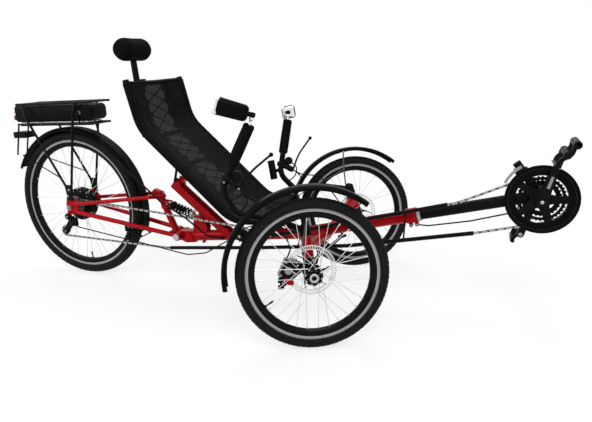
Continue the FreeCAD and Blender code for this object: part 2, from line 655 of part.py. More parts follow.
def make_tyre_tool(name, outer_cell, section_cell, rim_cell):
    """Tyre as a torus cut by the band that seats on the rim, all sizes on the sheet."""
    torus = primitive("Torus", name + "_torus", Radius1=f"(Sizes.{outer_cell} - Sizes.{section_cell}) / 2",
                      Radius2=f"Sizes.{section_cell} / 2")
    band = primitive("Cylinder", name + "_band", Radius=f"Sizes.{rim_cell} / 2", Height="Sizes.rim_wide * 4")
    band.setExpression("Placement.Base.z", "-Sizes.rim_wide * 2")
    tyre = boolean("Cut", name, torus, band)
    doc.recompute()
    return tyre


def spokes(count, flange_dia, flange_y, rim_dia, sweep_deg, dia):
    """Straight spokes from two flanges to the rim bed, around +Z, crossing with clearance."""
    solids = []
    for i in range(count):
        side = 1 if i % 2 else -1
        pair = (i // 2) % 2
        offset = 2.0 if pair else -2.0
        at_rim = 360.0 * (i + 0.5) / count
        lead = sweep_deg if pair else -sweep_deg
        r0, r1 = flange_dia / 2 - 3.5, rim_dia / 2 + 0.2
        a0, a1 = math.radians(at_rim + lead), math.radians(at_rim)
        start = Vector(r0 * math.cos(a0), r0 * math.sin(a0), side * flange_y + offset)
        end = Vector(r1 * math.cos(a1), r1 * math.sin(a1), side * 2.0)
        solids.append(rod(start, end, dia))
    return solids


def wheel_placement(centre, out):
    """Placement that lays a wheel made about +Z on its axle, +Z pointing outwards."""
    return Placement(centre, Rotation(AXIS_Z, out))


def make_front_wheels():
    flange, gap, thick = size("hub_flange_dia"), size("hub_flange_gap"), size("hub_flange_thick")
    bore = size("stub_dia") + 2 * size("gap_fit")
    nose = size("hub_nose_long")
    rotor_at = -size("rotor_inset")
    for corner in CORNERS:
        lay = wheel_placement(corner.wheel_centre, corner.wheel_out)
        tyre = make_tyre_tool(f"front_tyre_{corner.name}", "front_tyre_outer", "front_tyre_section",
                              "front_rim_outer")
        tyre.Placement = lay
        NODES[f"front_tyre_{corner.name}"] = tyre
        rim = turned(rim_profile(size("front_rim_outer")), Vector(0, 0, 0), AXIS_Z)
        rim.Placement = lay
        node(f"front_rim_{corner.name}", rim)
        barrel = rod(Vector(0, 0, rotor_at - 3), Vector(0, 0, gap / 2 + 2), size("hub_barrel_dia"))
        cap = rod(Vector(0, 0, gap / 2), Vector(0, 0, gap / 2 + nose), size("hub_nose_dia"), size("hub_nose_dia") - 4)
        discs = [rod(Vector(0, 0, side * gap / 2 - thick / 2), Vector(0, 0, side * gap / 2 + thick / 2), flange)
                 for side in (-1, 1)]
        rotor = turned([(size("rotor_dia") / 2 - 15, rotor_at - size("rotor_thick") / 2),
                        (size("rotor_dia") / 2, rotor_at - size("rotor_thick") / 2),
                        (size("rotor_dia") / 2, rotor_at + size("rotor_thick") / 2),
                        (size("rotor_dia") / 2 - 15, rotor_at + size("rotor_thick") / 2)], Vector(0, 0, 0), AXIS_Z)
        arms = []
        for i in range(6):
            a = math.radians(60 * i)
            inner, outer = 16, size("rotor_dia") / 2 - 10
            b = a + math.radians(22)
            arms.append(plate([Vector(inner * math.cos(a - 0.25), inner * math.sin(a - 0.25), rotor_at),
                               Vector(outer * math.cos(b - 0.06), outer * math.sin(b - 0.06), rotor_at),
                               Vector(outer * math.cos(b + 0.06), outer * math.sin(b + 0.06), rotor_at),
                               Vector(inner * math.cos(a + 0.25), inner * math.sin(a + 0.25), rotor_at)],
                              size("rotor_thick"), AXIS_Z))
        wires = spokes(int(size("front_spokes")), flange, gap / 2, size("front_rim_outer") - 2 * size("rim_deep"),
                       62, size("spoke_dia"))
        hub = fused([barrel, cap] + discs + [rotor] + arms + wires)
        blind = rod(Vector(0, 0, rotor_at - 40), Vector(0, 0, gap / 2 + nose - 8), bore)
        hub = hub.cut([blind, turned(rim_profile(size("front_rim_outer")), Vector(0, 0, 0), AXIS_Z)])
        hub.Placement = lay
        node(f"front_hub_{corner.name}", hub)


def make_rear_wheel():
    lay = wheel_placement(REAR, Vector(0, -1, 0))
    tyre = make_tyre_tool("rear_tyre", "rear_tyre_outer", "rear_tyre_section", "rear_rim_outer")
    tyre.Placement = lay
    NODES["rear_tyre"] = tyre
    rim = turned(rim_profile(size("rear_rim_outer")), Vector(0, 0, 0), AXIS_Z)
    rim.Placement = lay
    node("rear_rim", rim)
    motor = turned([(0, -38), (40, -38), (52, -31), (66, -24), (70, -20), (70, 14), (66, 18), (48, 24), (30, 30),
                    (24, 32), (0, 32)], Vector(0, 0, 0), AXIS_Z)
    wires = spokes(int(size("rear_spokes")), 140, 13.0, size("rear_rim_outer") - 2 * size("rim_deep"),
                   14, size("spoke_dia"))
    hub = fused([motor] + wires).cut([rod(Vector(0, 0, -80), Vector(0, 0, 80), 12.1),
                                      turned(rim_profile(size("rear_rim_outer")), Vector(0, 0, 0), AXIS_Z)])
    hub.Placement = lay
    node("hub_motor", hub)
    cogs = []
    for i, dia in enumerate((84, 74, 66, 58, 50, 44)):
        cogs.append(rod(Vector(0, 0, 32.4 + 4 * i), Vector(0, 0, 34.6 + 4 * i), dia))
    cogs.append(rod(Vector(0, 0, 32.4), Vector(0, 0, 56), 34))
    cassette = fused(cogs).cut(rod(Vector(0, 0, 0), Vector(0, 0, 80), 12.1))
    cassette.Placement = lay
    node("cassette", cassette)
    half = size("dropout_half") + size("dropout_thick") / 2
    axle = rod(REAR - AXIS_Y * (half + 14), REAR + AXIS_Y * (half + 14), 12)
    nuts = [rod(REAR + AXIS_Y * side * (half + 0.1), REAR + AXIS_Y * side * (half + 8), 22) for side in (-1, 1)]
    node("rear_axle", fused([axle] + nuts))


# ---------------------------------------------------------------- cranks
def make_crankset():
    line, pitch, thick = size("chain_line"), size("ring_pitch"), size("ring_thick")
    lay = wheel_placement(CRANK, Vector(0, -1, 0))
    pieces = []
    for i, dia in enumerate((size("ring_small_dia"), size("ring_middle_dia"), size("ring_large_dia"))):
        z = line + (i - 1) * pitch
        pieces.append(turned([(dia / 2 - 13, z - thick / 2), (dia / 2, z - thick / 2), (dia / 2, z + thick / 2),
                              (dia / 2 - 13, z + thick / 2)], Vector(0, 0, 0), AXIS_Z))
    guard_z = line + 1 * pitch + 5
    pieces.append(turned([(size("guard_dia") / 2 - 24, guard_z - 1.5), (size("guard_dia") / 2, guard_z - 1.5),
                          (size("guard_dia") / 2, guard_z + 1.5), (size("guard_dia") / 2 - 24, guard_z + 1.5)],
                         Vector(0, 0, 0), AXIS_Z))
    arms = []
    reach, inner_reach = size("guard_dia") / 2 - 16, size("ring_middle_dia") / 2 - 3
    for i in range(5):
        a = math.radians(72 * i + 90 - size("crank_angle"))
        tip = Vector(reach * math.cos(a), reach * math.sin(a), line)
        side = Vector(-math.sin(a), math.cos(a), 0)
        near = Vector(inner_reach * math.cos(a), inner_reach * math.sin(a), line)
        for at, far, thick_arm in ((3, near, 24), (10, tip, 9)):
            lift = Vector(0, 0, at)
            arms.append(plate([side * 11 + Vector(0, 0, line) + lift, far + side * 7 + lift,
                               far - side * 7 + lift, side * -11 + Vector(0, 0, line) + lift], thick_arm, AXIS_Z))
    boss = rod(Vector(0, 0, line - 8), Vector(0, 0, line + 18), 46)
    rings = fused(pieces + arms + [boss]).cut(rod(Vector(0, 0, 0), Vector(0, 0, 100), 30.0))
    rings.Placement = lay
    node("chainrings", rings)
    angle, length, half = math.radians(size("crank_angle")), size("crank_long"), size("crank_half")
    spindle = rod(CRANK - AXIS_Y * (half + 8), CRANK + AXIS_Y * (half + 8), 24)
    body = [spindle]
    for side in (-1, 1):
        way = Vector(math.sin(angle), 0, math.cos(angle)) * (-side)
        eye, hub = CRANK + way * length + AXIS_Y * side * half, CRANK + AXIS_Y * side * half
        across = Vector(way.z, 0, -way.x)
        body.append(plate([hub + across * 17, eye + across * 12, eye - across * 12, hub - across * 17], 13))
        body.append(rod(hub - AXIS_Y * 9, hub + AXIS_Y * 9, 36))
        body.append(rod(eye - AXIS_Y * 6.5, eye + AXIS_Y * 6.5, 26))
    arms_solid = fused(body)
    holes = []
    for name, side in SIDES:
        way = Vector(math.sin(angle), 0, math.cos(angle)) * (-side)
        eye = CRANK + way * length + AXIS_Y * side * half
        holes.append(rod(eye - AXIS_Y * 20, eye + AXIS_Y * 20, 14.1))
    # the spindle passes the chainrings' boss with a light press clearance
    node("crank_arms", arms_solid.cut(holes))
    for name, side in SIDES:
        way = Vector(math.sin(angle), 0, math.cos(angle)) * (-side)
        eye = CRANK + way * length + AXIS_Y * side * half
        out = AXIS_Y * side
        tilt = math.radians(size("pedal_tilt"))
        along, up = Vector(math.cos(tilt), 0, math.sin(tilt)), Vector(-math.sin(tilt), 0, math.cos(tilt))
        middle = eye + out * (14 + size("pedal_wide") / 2)
        body = Part.makeBox(size("pedal_long"), size("pedal_wide"), size("pedal_thick"))
        body.translate(Vector(-size("pedal_long") / 2, -size("pedal_wide") / 2, -size("pedal_thick") / 2))
        windows = []
        for x in (-1, 1):
            window = Part.makeBox(24, size("pedal_wide") - 24, 40)
            window.translate(Vector(x * 26 - 12, -(size("pedal_wide") - 24) / 2, -20))
            windows.append(window)
        body = body.makeFillet(8, [e for e in body.Edges if abs(e.tangentAt(e.FirstParameter).y) > 0.9])
        body = body.cut(windows)
        body.Placement = Placement(middle, Rotation(AXIS_Y, -size("pedal_tilt")))
        shaft = rod(eye - out * 6.5, eye + out * (14 + size("pedal_wide") - 6), 14)
        node(f"pedal_{name}", fused([body, shaft]))


# ---------------------------------------------------------------- chain and its guides
def side_point(x, z):
    """Point in the chain's plane, from the front axle."""
    return point(x, -size("chain_line"), z)


def pulley_middle(name):
    """Middle of one of the derailleur's pulleys."""
    return tail(size(name + "_x"), -size("chain_line"), size(name + "_z"))


class Belt:
    """Closed run of arcs and tangent lines round a list of wheels, in the chain's plane.

    Each wheel is (centre, radius): a positive radius keeps the wheel on the left of the run,
    which goes from the chainring's top to the back and returns below.
    """

    def __init__(self, wheels, offset=0.0):
        self.arcs, self.lines = [], []
        spans = []
        count = len(wheels)
        for i, (centre, radius) in enumerate(wheels):
            after, radius_after = wheels[(i + 1) % count]
            radius, radius_after = radius - offset, radius_after - offset
            gap = after - centre
            turn = radius_after - radius
            angle = math.atan2(gap.z, gap.x) - math.atan2(turn, math.sqrt(gap.Length ** 2 - turn ** 2))
            normal = Vector(-math.sin(angle), 0, math.cos(angle))
            spans.append((centre - normal * radius, after - normal * radius_after, normal))
        for i, (centre, radius) in enumerate(wheels):
            before, after = spans[i - 1], spans[i]
            mean = (before[2] + after[2]).normalize()
            if radius > 0 and before[2].x * after[2].z - before[2].z * after[2].x < 0 and mean.Length:
                mean = mean * (-1 if (before[2] + after[2]).Length < 0.2 else 1)
            middle = centre - mean * (radius - offset)
            self.arcs.append(Part.Arc(before[1], middle, after[0]).toShape())
            self.lines.append(Part.LineSegment(after[0], after[1]).toShape())

    def wire(self):
        """The whole loop."""
        edges = []
        for arc, line in zip(self.arcs, self.lines):
            edges += [arc, line]
        return Part.Wire(edges)


def chain_wheels():
    """The wheels and gentle bends that the chain follows, in order."""
    line = size("chain_line")
    rings = [
        (CRANK - AXIS_Y * line, size("ring_line_radius")),
        (side_point(410, 392) + Vector(80, 0, -300).normalize() * -300, -300),
        (side_point(size("idler_front_x"), size("idler_front_z")), -size("idler_front_radius")),
        (side_point(size("idler_rear_x"), size("idler_rear_z")), size("idler_rear_radius")),
        (REAR - AXIS_Y * line, size("cog_line_radius")),
        (pulley_middle("guide"), -size("pulley_line_radius")),
        (pulley_middle("tension"), size("pulley_line_radius")),
    ]
    for x, z in ((-693, 161), (-298, 189), (41, 220), (457, 291)):
        rings.append((side_point(x, z) + Vector(-0.1, 0, 1) * 300, 300))
    return rings


def make_chain():
    half, wide = size("chain_tall") / 2, size("chain_wide")
    outer = Part.Face(Belt(chain_wheels(), -half).wire())
    inner = Part.Face(Belt(chain_wheels(), half).wire())
    loop = outer.cut(inner).Faces[0].extrude(AXIS_Y * wide)
    loop.translate(AXIS_Y * (-wide / 2))
    node("chain", loop)


def tube_along(lines, dia, bore):
    """Tube of straight lengths that meet where the lines cross."""
    ends = [line.Vertexes[0].Point for line in lines[:1]]
    for one, two in zip(lines, lines[1:]):
        a, b = one.Vertexes[1].Point, two.Vertexes[0].Point
        way = (a - one.Vertexes[0].Point).normalize()
        after = (two.Vertexes[1].Point - b).normalize()
        ends.append(a + way * ((b - a).Length / 2 / max(math.cos(way.getAngle(after) / 2), 0.1)))
    ends.append(lines[-1].Vertexes[1].Point)
    walls = [fused([rod(a, b, d) for a, b in zip(ends, ends[1:])]
                   + [Part.makeSphere(d / 2, end) for end in ends[1:-1]]) for d in (dia, bore)]
    return walls[0].cut(walls[1])


def make_chain_tubes():
    belt = Belt(chain_wheels())
    dia, bore = size("chain_tube_dia"), size("chain_tube_bore")
    line = belt.lines[1]
    first, last = line.Vertexes[0].Point, line.Vertexes[1].Point
    way = (last - first).normalize()
    upper = rod(first + way * 6, last - way * 40, dia)
    hangers = []
    for x in (250, -10):
        on_top = first + way * ((first.x - FX - x) / -way.x)
        hangers.append(rod(Vector(on_top.x, -19, main_line(x).z + 6), on_top + Vector(0, 0, -6), 6))
    node("chain_tube_upper", fused([upper] + hangers).cut([NODES["main_tube"].Shape, rod(first, last, bore)]))
    lower = tube_along(belt.lines[7:10], dia, bore)
    hangers = [rod(point(x, -16, main_line(x).z - 10), side_point(x, z + 6), 6)
               for x, z in ((250, 257), (-140, 204))]
    node("chain_tube_lower", fused([lower] + hangers).cut([NODES["main_tube"].Shape, NODES["chain"].Shape]))


def make_idler():
    line, wide = size("chain_line"), size("chain_wide")
    discs, bolts = [], []
    reach = (size("chain_tall") / 2) + 0.5
    for name in ("idler_rear", "idler_front"):
        centre = side_point(size(name + "_x"), size(name + "_z"))
        radius = size(name + "_radius") - reach
        discs.append(rod(centre - AXIS_Y * 4, centre + AXIS_Y * 4, 2 * radius))
        bolts.append(rod(centre - AXIS_Y * 12, centre + AXIS_Y * 20, 12))
    bracket = plate([point(-395, -28, 224), point(-268, -28, 236), point(-276, -28, 274), point(-372, -28, 250)], 6)
    web = plate([point(-380, -21, 218), point(-290, -21, 226), point(-290, -21, 244), point(-380, -21, 238)], 14)
    whole = fused(discs + bolts + [bracket, web])
    node("idler", whole.cut([NODES["main_tube"].Shape, NODES["chain"].Shape]))


def make_rear_derailleur():
    line = -size("chain_line")
    guide, tension = pulley_middle("guide"), pulley_middle("tension")
    tip = size("pulley_line_radius") - size("chain_tall") / 2 - 0.5
    pieces = []
    for pulley in (guide, tension):
        pieces.append(rod(pulley - AXIS_Y * 3.5, pulley + AXIS_Y * 3.5, 2 * tip))
        pieces.append(rod(pulley - AXIS_Y * 9, pulley + AXIS_Y * 9, 9))
    way = (tension - guide).normalize()
    side = Vector(way.z, 0, -way.x) * 10
    for y in (-7.2, 7.2):
        shift = AXIS_Y * y
        pieces.append(plate([guide + shift + side - way * 10, tension + shift + side + way * 10,
                             tension + shift - side + way * 10, guide + shift - side - way * 10], 2.4))
    hanger_y = -(size("dropout_half") + size("dropout_thick"))
    bolt = tail(-9, hanger_y, 282)
    pieces.append(plate([bolt + Vector(x, 0, z) for x, z in ((-10, -12), (10, -12), (14, 16), (-6, 18))], 6))
    pieces.append(rod(bolt - AXIS_Y * 8, bolt + AXIS_Y * 3, 15))
    body = [bolt + Vector(2, -3, -4), Vector(guide.x + 26, line - 22, guide.z - 6), guide + Vector(0, -9, 0)]
    pieces.append(rod(body[0], body[1], 17))
    pieces.append(rod(body[1], body[2], 15))
    whole = fused(pieces)
    node("rear_derailleur", whole.cut([NODES["chain"].Shape, NODES["swingarm"].Shape, NODES["rear_axle"].Shape]))


def make_rear_brake():
    pieces = []
    radial = Vector(math.cos(math.radians(21)), 0, -math.sin(math.radians(21)))
    track = size("rear_rim_outer") / 2 - size("rim_track_depth")
    for side in (-1, 1):
        pad = REAR + radial * track
        near, far = lower_stay(side)
        root = near + (far - near) * size("brake_share")
        knee, end = pad + AXIS_Y * side * 40, REAR + radial * 346 + AXIS_Y * side * 32
        pieces += [rod(root, knee, 13), rod(knee, end, 10)]
        pieces.append(rod(pad + AXIS_Y * side * 22, knee, 10))
        shoe = Part.makeBox(46, 10, 7)
        shoe.translate(Vector(-23, -5, -3.5))
        shoe.Placement = Placement(pad + AXIS_Y * side * 23, Rotation(AXIS_Y, 21 + 90))
        pieces.append(shoe)
    bridge = REAR + radial * 346
    pieces.append(rod(bridge - AXIS_Y * 32, bridge + AXIS_Y * 32, 5))
    node("rear_brake", fused(flat(pieces)).cut(NODES["swingarm"].Shape))


def flat(shapes):
    """Solids of shapes that have been placed."""
    return [solid for shape in shapes for solid in shape.Solids]


def make_front_derailleur():
    line = size("chain_line")
    clamp = CRANK + POST_WAY * 92
    pieces = [rod(clamp - POST_WAY * 8, clamp + POST_WAY * 8, 37)]
    cage = []
    for y in (-line + 5.5, -line - 5.0):
        arc = turned([(103, -0.8), (124, -0.8), (124, 0.8), (103, 0.8)], CRANK + AXIS_Y * y, Vector(0, -1, 0), 122, 34)
        cage.append(arc)
    cage.append(turned([(122, -6.2), (124, -6.2), (124, 6.2), (122, 6.2)], CRANK - AXIS_Y * (line - 0.2),
                       Vector(0, -1, 0), 122, 34))
    at = math.radians(132)
    on_cage = CRANK + Vector(114 * math.cos(at), -line + 5.5, 114 * math.sin(at))
    pieces += cage + [rod(on_cage, clamp - AXIS_Y * 16, 10)]
    node("front_derailleur", fused(pieces).cut([NODES["boom"].Shape, NODES["chain"].Shape]))


def make_cables():
    """Held housings, each along straight runs joined by arcs."""
    thick = [tail(133, -55.8, 716), tail(188, -58, 690), tail(237, -80, 571), point(-706, -70, 361),
             point(-607, -62, 299), point(-520, -52, 226), point(-462, -24.2, 209.3)]
    node("power_cable", bent_rod(thick, 7, [30, 60, 60, 60, 30]))
    mech = pulley_middle("guide") + Vector(26, -22, -6)
    way = Vector(11, 11, -26).normalize()
    thin = [mech + way * 0.4, mech + way * 26, point(-760, -62, 168), point(-620, -52, 140), point(-540, -42, 150),
            point(-455, -11, 196.6)]
    node("gear_cable", bent_rod(thin, 5, [16, 60, 60, 40]).cut(NODES["rear_derailleur"].Shape))
    fore = [point(296.2, -3, 301.5), point(330, -16, 304), point(465, -25, 330), point(600, -24, 366),
            point(640, -25, 440), point(620, -21.3, 491)]
    node("boom_cable", bent_rod(fore, 5, [20, 60, 40, 24]).cut(NODES["front_derailleur"].Shape))


# ---------------------------------------------------------------- front corners
def make_knuckle(corner):
    """Kingpin, stub axle, steering arm, brake mount and fender stay in one forging."""
    out = AXIS_Y * corner.side
    high, low = size("head_tube_long") - size("head_tube_low"), size("head_tube_low")
    shoulder = corner.hub - out * (size("rotor_inset") + 4)
    stub_end = corner.hub + out * (size("hub_flange_gap") / 2 + size("hub_nose_long") - 8.5)
    upwards = corner.rest.Rotation.inverted().multVec(corner.pivot_axis)
    pivot = corner.at(size("tie_eye_x"), size("tie_eye_y"), size("tie_eye_z"))
    eye = pivot + upwards * size("tie_drop")
    mount = corner.inboard(-66, size("rotor_inset") + 20, 262)
    root = corner.along(-low - 12)
    pieces = [
        rod(corner.along(-low - 18), corner.along(high + 34), size("kingpin_dia")),
        rod(corner.along(-low - 22), corner.along(-low - size("gap_seat")), 31),
        rod(root, shoulder - out * 10, 24),
        rod(shoulder - out * 17, shoulder, 27.5),
        rod(shoulder - out * 8, stub_end, size("stub_dia")),
        rod(root, eye + AXIS_Z * 2, 14),
        rod(eye - upwards * 6, eye + upwards * 6, 20),
        rod(shoulder - out * 9, mount, 13)]
    if corner.name == "left":
        forging = fused(pieces + [rod(pivot - upwards * 8, eye, size("tie_pin_dia"))])
    else:
        bore = rod(eye - upwards * 20, eye + upwards * 20, size("tie_pin_dia") + 2 * size("gap_fit"))
        forging = fused(pieces).cut([bore, rod(eye + upwards * 6, eye + upwards * 30, 22)])
    corner.keep(f"knuckle_{corner.name}", forging)
    return forging


def make_caliper(corner, forging):
    """Disc brake caliper astride the rotor, behind the hub."""
    middle = corner.inboard(-74, size("rotor_inset"), 236)
    lean = Placement(middle, Rotation(AXIS_Y, 18))
    body = Part.makeBox(46, 34, 62)
    body.translate(Vector(-23, -17, -31))
    slot = Part.makeBox(70, 5.6, 90)
    slot.translate(Vector(-20, -2.8, -45))
    caliper = body.cut(slot)
    caliper.Placement = lean
    corner.keep(f"caliper_{corner.name}", caliper.cut(forging))


def make_brake_hose(corner):
    """Held brake hose: out of the lever body's front end, down and into the caliper's top."""
    lever_front, lever_way = corner.inboard(-240, 96.8, 467.4), Vector(43, -3 * corner.side, -32).normalize()
    caliper_top, caliper_way = corner.inboard(-77.7, 54, 269.8), Vector(0.309, 0, 0.951)
    start, end = lever_front + lever_way * size("gap_seat"), caliper_top + caliper_way * size("gap_seat")
    route = [start, start + lever_way * 42, corner.inboard(-132, 69, 424), end + caliper_way * 30, end]
    corner.keep(f"brake_hose_{corner.name}", bent_rod(route, size("hose_dia"), [60, 40, 30]))


def make_front_fender(corner, forging):
    """Slim fender, its stay from the knuckle and the thin wire at its rear."""
    radius = size("front_fender_radius")
    shell = fender_arc(corner.hub, Vector(0, -1, 0), radius, size("front_fender_wide"),
                       size(f"fender_start_{corner.name}"), size("fender_sweep"))
    lip, axle = size("front_fender_wide") / 2, size("front_tyre_outer") / 2
    stay = bent_rod([corner.inboard(-8, 59, 246), corner.inboard(-34, 59, 262), corner.inboard(-26, 59, 450),
                     corner.inboard(-10, lip - 3, axle + radius - 9.5)], 6, [8, 14])
    reach = radius - 10.4
    wire = rod(corner.inboard(-27, 59, 430), corner.inboard(-0.898 * reach, lip - 2, axle + 0.439 * reach), 4)
    corner.keep(f"front_fender_{corner.name}", fused([shell, stay, wire]).cut(forging))


# where each mirror's head starts and which way it points: folded back on the right, straight out on the left
MIRROR_PLACES = {"right": ((-229, 65, 700), (-80, 0, 15)), "left": ((-212, 56, 700), (10, 100, 5))}


def make_bar(corner):
    """Handlebar clamped on the kingpin's top, its foam grip, brake lever and mirror."""
    high = size("head_tube_long") - size("head_tube_low")
    bar_dia = size("bar_dia")
    grip_low, grip_high = corner.inboard(-270, 99, 537), corner.inboard(-224, 73, 665)
    along = (grip_high - grip_low).normalize()
    line = [corner.along(high + 18), corner.inboard(-118, 98, 378), corner.inboard(-246, 101, 390),
            corner.inboard(-296, 101, 462), grip_low, grip_high]
    bar = bent_rod(line, bar_dia, [40, 42, 60, 60])
    clamp = rod(corner.along(high + size("gap_seat")), corner.along(high + 34), 36)
    dome = rod(corner.along(high + 34), corner.along(high + 42), 30, 18)
    bore = rod(corner.along(high - 5), corner.along(high + 34), size("kingpin_dia"))
    whole = fused([clamp, bar, dome]).cut(bore)
    corner.keep(f"handlebar_{corner.name}", whole)
    grip = rod(grip_low + along * 6, grip_high + along * 4, size("grip_dia"))
    corner.keep(f"grip_{corner.name}", grip.cut(whole))
    # lever below the grip, reaching up ahead of it, and the round shifter
    ring = corner.inboard(-283, 100, 500)
    way = (corner.inboard(-270, 99, 537) - corner.inboard(-296, 101, 462)).normalize()
    blade = [corner.inboard(-240, 103, 468), corner.inboard(-214, 103, 516), corner.inboard(-180, 104, 553),
             corner.inboard(-150, 105, 582)]
    shifter = corner.inboard(-252, 105, 508)
    lever = fused([rod(ring - way * 9, ring + way * 9, 34), rod(ring, corner.inboard(-240, 103, 468), 18),
                   bent_rod(blade, 7, 24), Part.makeSphere(7, blade[-1]),
                   rod(shifter - AXIS_Y * 11, shifter + AXIS_Y * 11, 24), rod(ring, shifter, 10)])
    corner.keep(f"brake_lever_{corner.name}", lever.cut(whole))
    # mirror on its chromed post
    start, way = MIRROR_PLACES[corner.name]
    top, knee, front = grip_high, corner.inboard(-216, 70, 699), corner.inboard(*start)
    back = Vector(way[0], corner.side * way[1], way[2]).normalize()
    tall, deep = size("mirror_tall"), size("mirror_deep")
    shell = Part.makeBox(size("mirror_long"), deep, tall)
    shell = shell.makeFillet(15, [e for e in shell.Edges if abs(e.tangentAt(e.FirstParameter).x) > 0.9])
    shell.translate(Vector(0, -deep / 2, -tall / 2))
    shell.Placement = Placement(front, Rotation(AXIS_X, back)).multiply(shell.Placement)
    post = rod(top - along * 4, knee, 9)
    arm = rod(knee + Vector(0, 0, -7), knee + Vector(0, 0, 7), 18)
    corner.keep(f"mirror_{corner.name}", fused([shell, post, arm, rod(knee, front + back * 10, 14)])
                .cut([whole, grip]))
    return whole


def make_control_pod(corner, bar):
    """Upright display and control pod on the left bar."""
    pod = rod(corner.inboard(-322, 100, 446), corner.inboard(-322, 100, 522), 28)
    arm = rod(corner.inboard(-292, 100, 478), corner.inboard(-322, 100, 478), 14)
    corner.keep("control_pod", fused([pod, arm]).cut(bar))


def make_tie_rod():
    """Rod between the steering arms; its left end is the linkage's open pivot."""
    right, left = CORNERS
    pin, drop, up = size("tie_pin_dia"), size("tie_drop"), right.pivot_axis
    along = (left.pivot - right.pivot).normalize()
    reach = pin / 2 + size("tie_play")
    node("tie_rod", fused([
        rod(right.pivot - up * 7, right.pivot + up * 7, 20),
        rod(right.pivot, right.pivot + up * (drop + 10), pin),
        rod(right.pivot + up * (drop + 6.5), right.pivot + up * (drop + 12), 15),
        rod(right.pivot, left.pivot - along * (reach + 3), size("tie_rod_dia")),
        turned([(reach, -3.5), (reach + 6, -3.5), (reach + 6, 3.5), (reach, 3.5)], left.pivot, left.pivot_axis)]))


def build():
    make_main_tube()
    make_seat_stay()
    make_cross_member()
    make_boom()
    make_swingarm()
    make_pivot_bolt()
    make_shock()
    make_seat_frame()
    make_seat_sling()
    make_seat_mounts()
    make_headrest()
    make_rack()
    make_battery()
    make_rear_fender()
    make_front_wheels()
    make_rear_wheel()
    make_crankset()
    make_chain()
    make_chain_tubes()
    make_idler()
    make_rear_derailleur()
    make_rear_brake()
    make_front_derailleur()
    make_cables()
    for corner in CORNERS:
        forging = make_knuckle(corner)
        make_caliper(corner, forging)
        make_brake_hose(corner)
        make_front_fender(corner, forging)
        bar = make_bar(corner)
        if corner.side > 0:
            make_control_pod(corner, bar)
    make_tie_rod()


def check_and_write():
    """Stop on any failed object, then write each sub-part."""
    doc.recompute()
    for item in doc.Objects:
        if any(word in item.State for word in ("Invalid", "Error")):
            raise RuntimeError(f"{item.Name} failed: {item.State}")
    for label, item in NODES.items():
        if item.Shape.isNull() or not item.Shape.isValid():
            raise RuntimeError(f"{label} has no valid shape")
    for label, item in NODES.items():
        item.Label = label
        item.Shape.exportStep(f"parts/{label}.step")


build()
check_and_write()
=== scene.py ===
"""Looks of the recumbent tricycle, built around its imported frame.

Metres, +X forward, +Y to the rider's left, +Z up.  Each sub-assembly is a class that holds its sizes
and makes, dresses and mounts its own pieces.
"""

import json
import logging
import math
from dataclasses import dataclass, field
from enum import Enum
from typing import Callable, Iterable, Sequence

import bpy
from mathutils import Matrix, Vector

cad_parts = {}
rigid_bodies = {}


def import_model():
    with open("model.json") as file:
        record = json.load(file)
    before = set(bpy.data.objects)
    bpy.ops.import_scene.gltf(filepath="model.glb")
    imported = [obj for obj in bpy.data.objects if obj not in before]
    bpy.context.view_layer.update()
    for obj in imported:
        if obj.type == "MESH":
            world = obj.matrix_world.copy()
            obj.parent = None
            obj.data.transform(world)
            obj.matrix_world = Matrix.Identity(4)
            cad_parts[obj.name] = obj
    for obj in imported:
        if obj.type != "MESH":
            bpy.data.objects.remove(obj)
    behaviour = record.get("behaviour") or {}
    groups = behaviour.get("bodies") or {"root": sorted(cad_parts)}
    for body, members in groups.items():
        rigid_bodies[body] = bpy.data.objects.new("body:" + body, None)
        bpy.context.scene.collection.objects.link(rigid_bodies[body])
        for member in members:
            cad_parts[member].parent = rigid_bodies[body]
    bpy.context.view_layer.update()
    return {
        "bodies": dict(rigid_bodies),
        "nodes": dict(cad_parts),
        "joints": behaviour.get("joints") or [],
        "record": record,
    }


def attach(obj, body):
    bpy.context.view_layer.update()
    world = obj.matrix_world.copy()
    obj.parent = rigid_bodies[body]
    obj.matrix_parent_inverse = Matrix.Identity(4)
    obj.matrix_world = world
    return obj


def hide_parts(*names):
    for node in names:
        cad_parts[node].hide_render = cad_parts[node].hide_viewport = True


LOG = logging.getLogger("tricycle")
MM = 0.001
ACROSS, RIGHT = Vector((0, 1, 0)), Vector((0, -1, 0))
SIDES = (-1, 1)
# middles of the chain's pulleys in the side view: forward, up
GUIDE, TENSION = (-0.84, 0.258), (-0.885, 0.205)
IDLER_REAR, IDLER_FRONT = (-0.017, 0.236), (0.065, 0.262)
# eyes of the shock, middle of the headrest, and corners of the seat's rails
SHOCK_REAR, SHOCK_FRONT = (-0.363, 0, 0.336), (-0.22, 0, 0.284)
HEADREST = (-0.447, 0, 0.95)
SEAT_RAIL = ((-0.364, 0.838), (-0.326, 0.664), (0.02, 0.332), (0.143, 0.338))
Point = tuple[float, float, float]
Profile = Sequence[tuple[float, float]]
Spot = Vector | Sequence[float]
Piece = bpy.types.Object
Path = Sequence[tuple[Vector, Vector]]


# ------------------------------------------------------------------ finishes
def levels(node: bpy.types.Node, **values: object) -> bpy.types.Node:
    """Sets sockets of a node, each named with _ for a space, and gives the node back."""
    for name, value in values.items():
        node.inputs[name.replace("_", " ")].default_value = value
    return node


def add_node(tree: bpy.types.NodeTree, kind: str, **values: object) -> bpy.types.Node:
    """Adds a shader node with its levels."""
    return levels(tree.nodes.new(f"ShaderNode{kind}"), **values)


class Grain(Enum):
    """How a surface's fine texture runs."""

    SMOOTH = "smooth"
    CAST = "cast"
    FOAM = "foam"
    WEAVE = "weave"


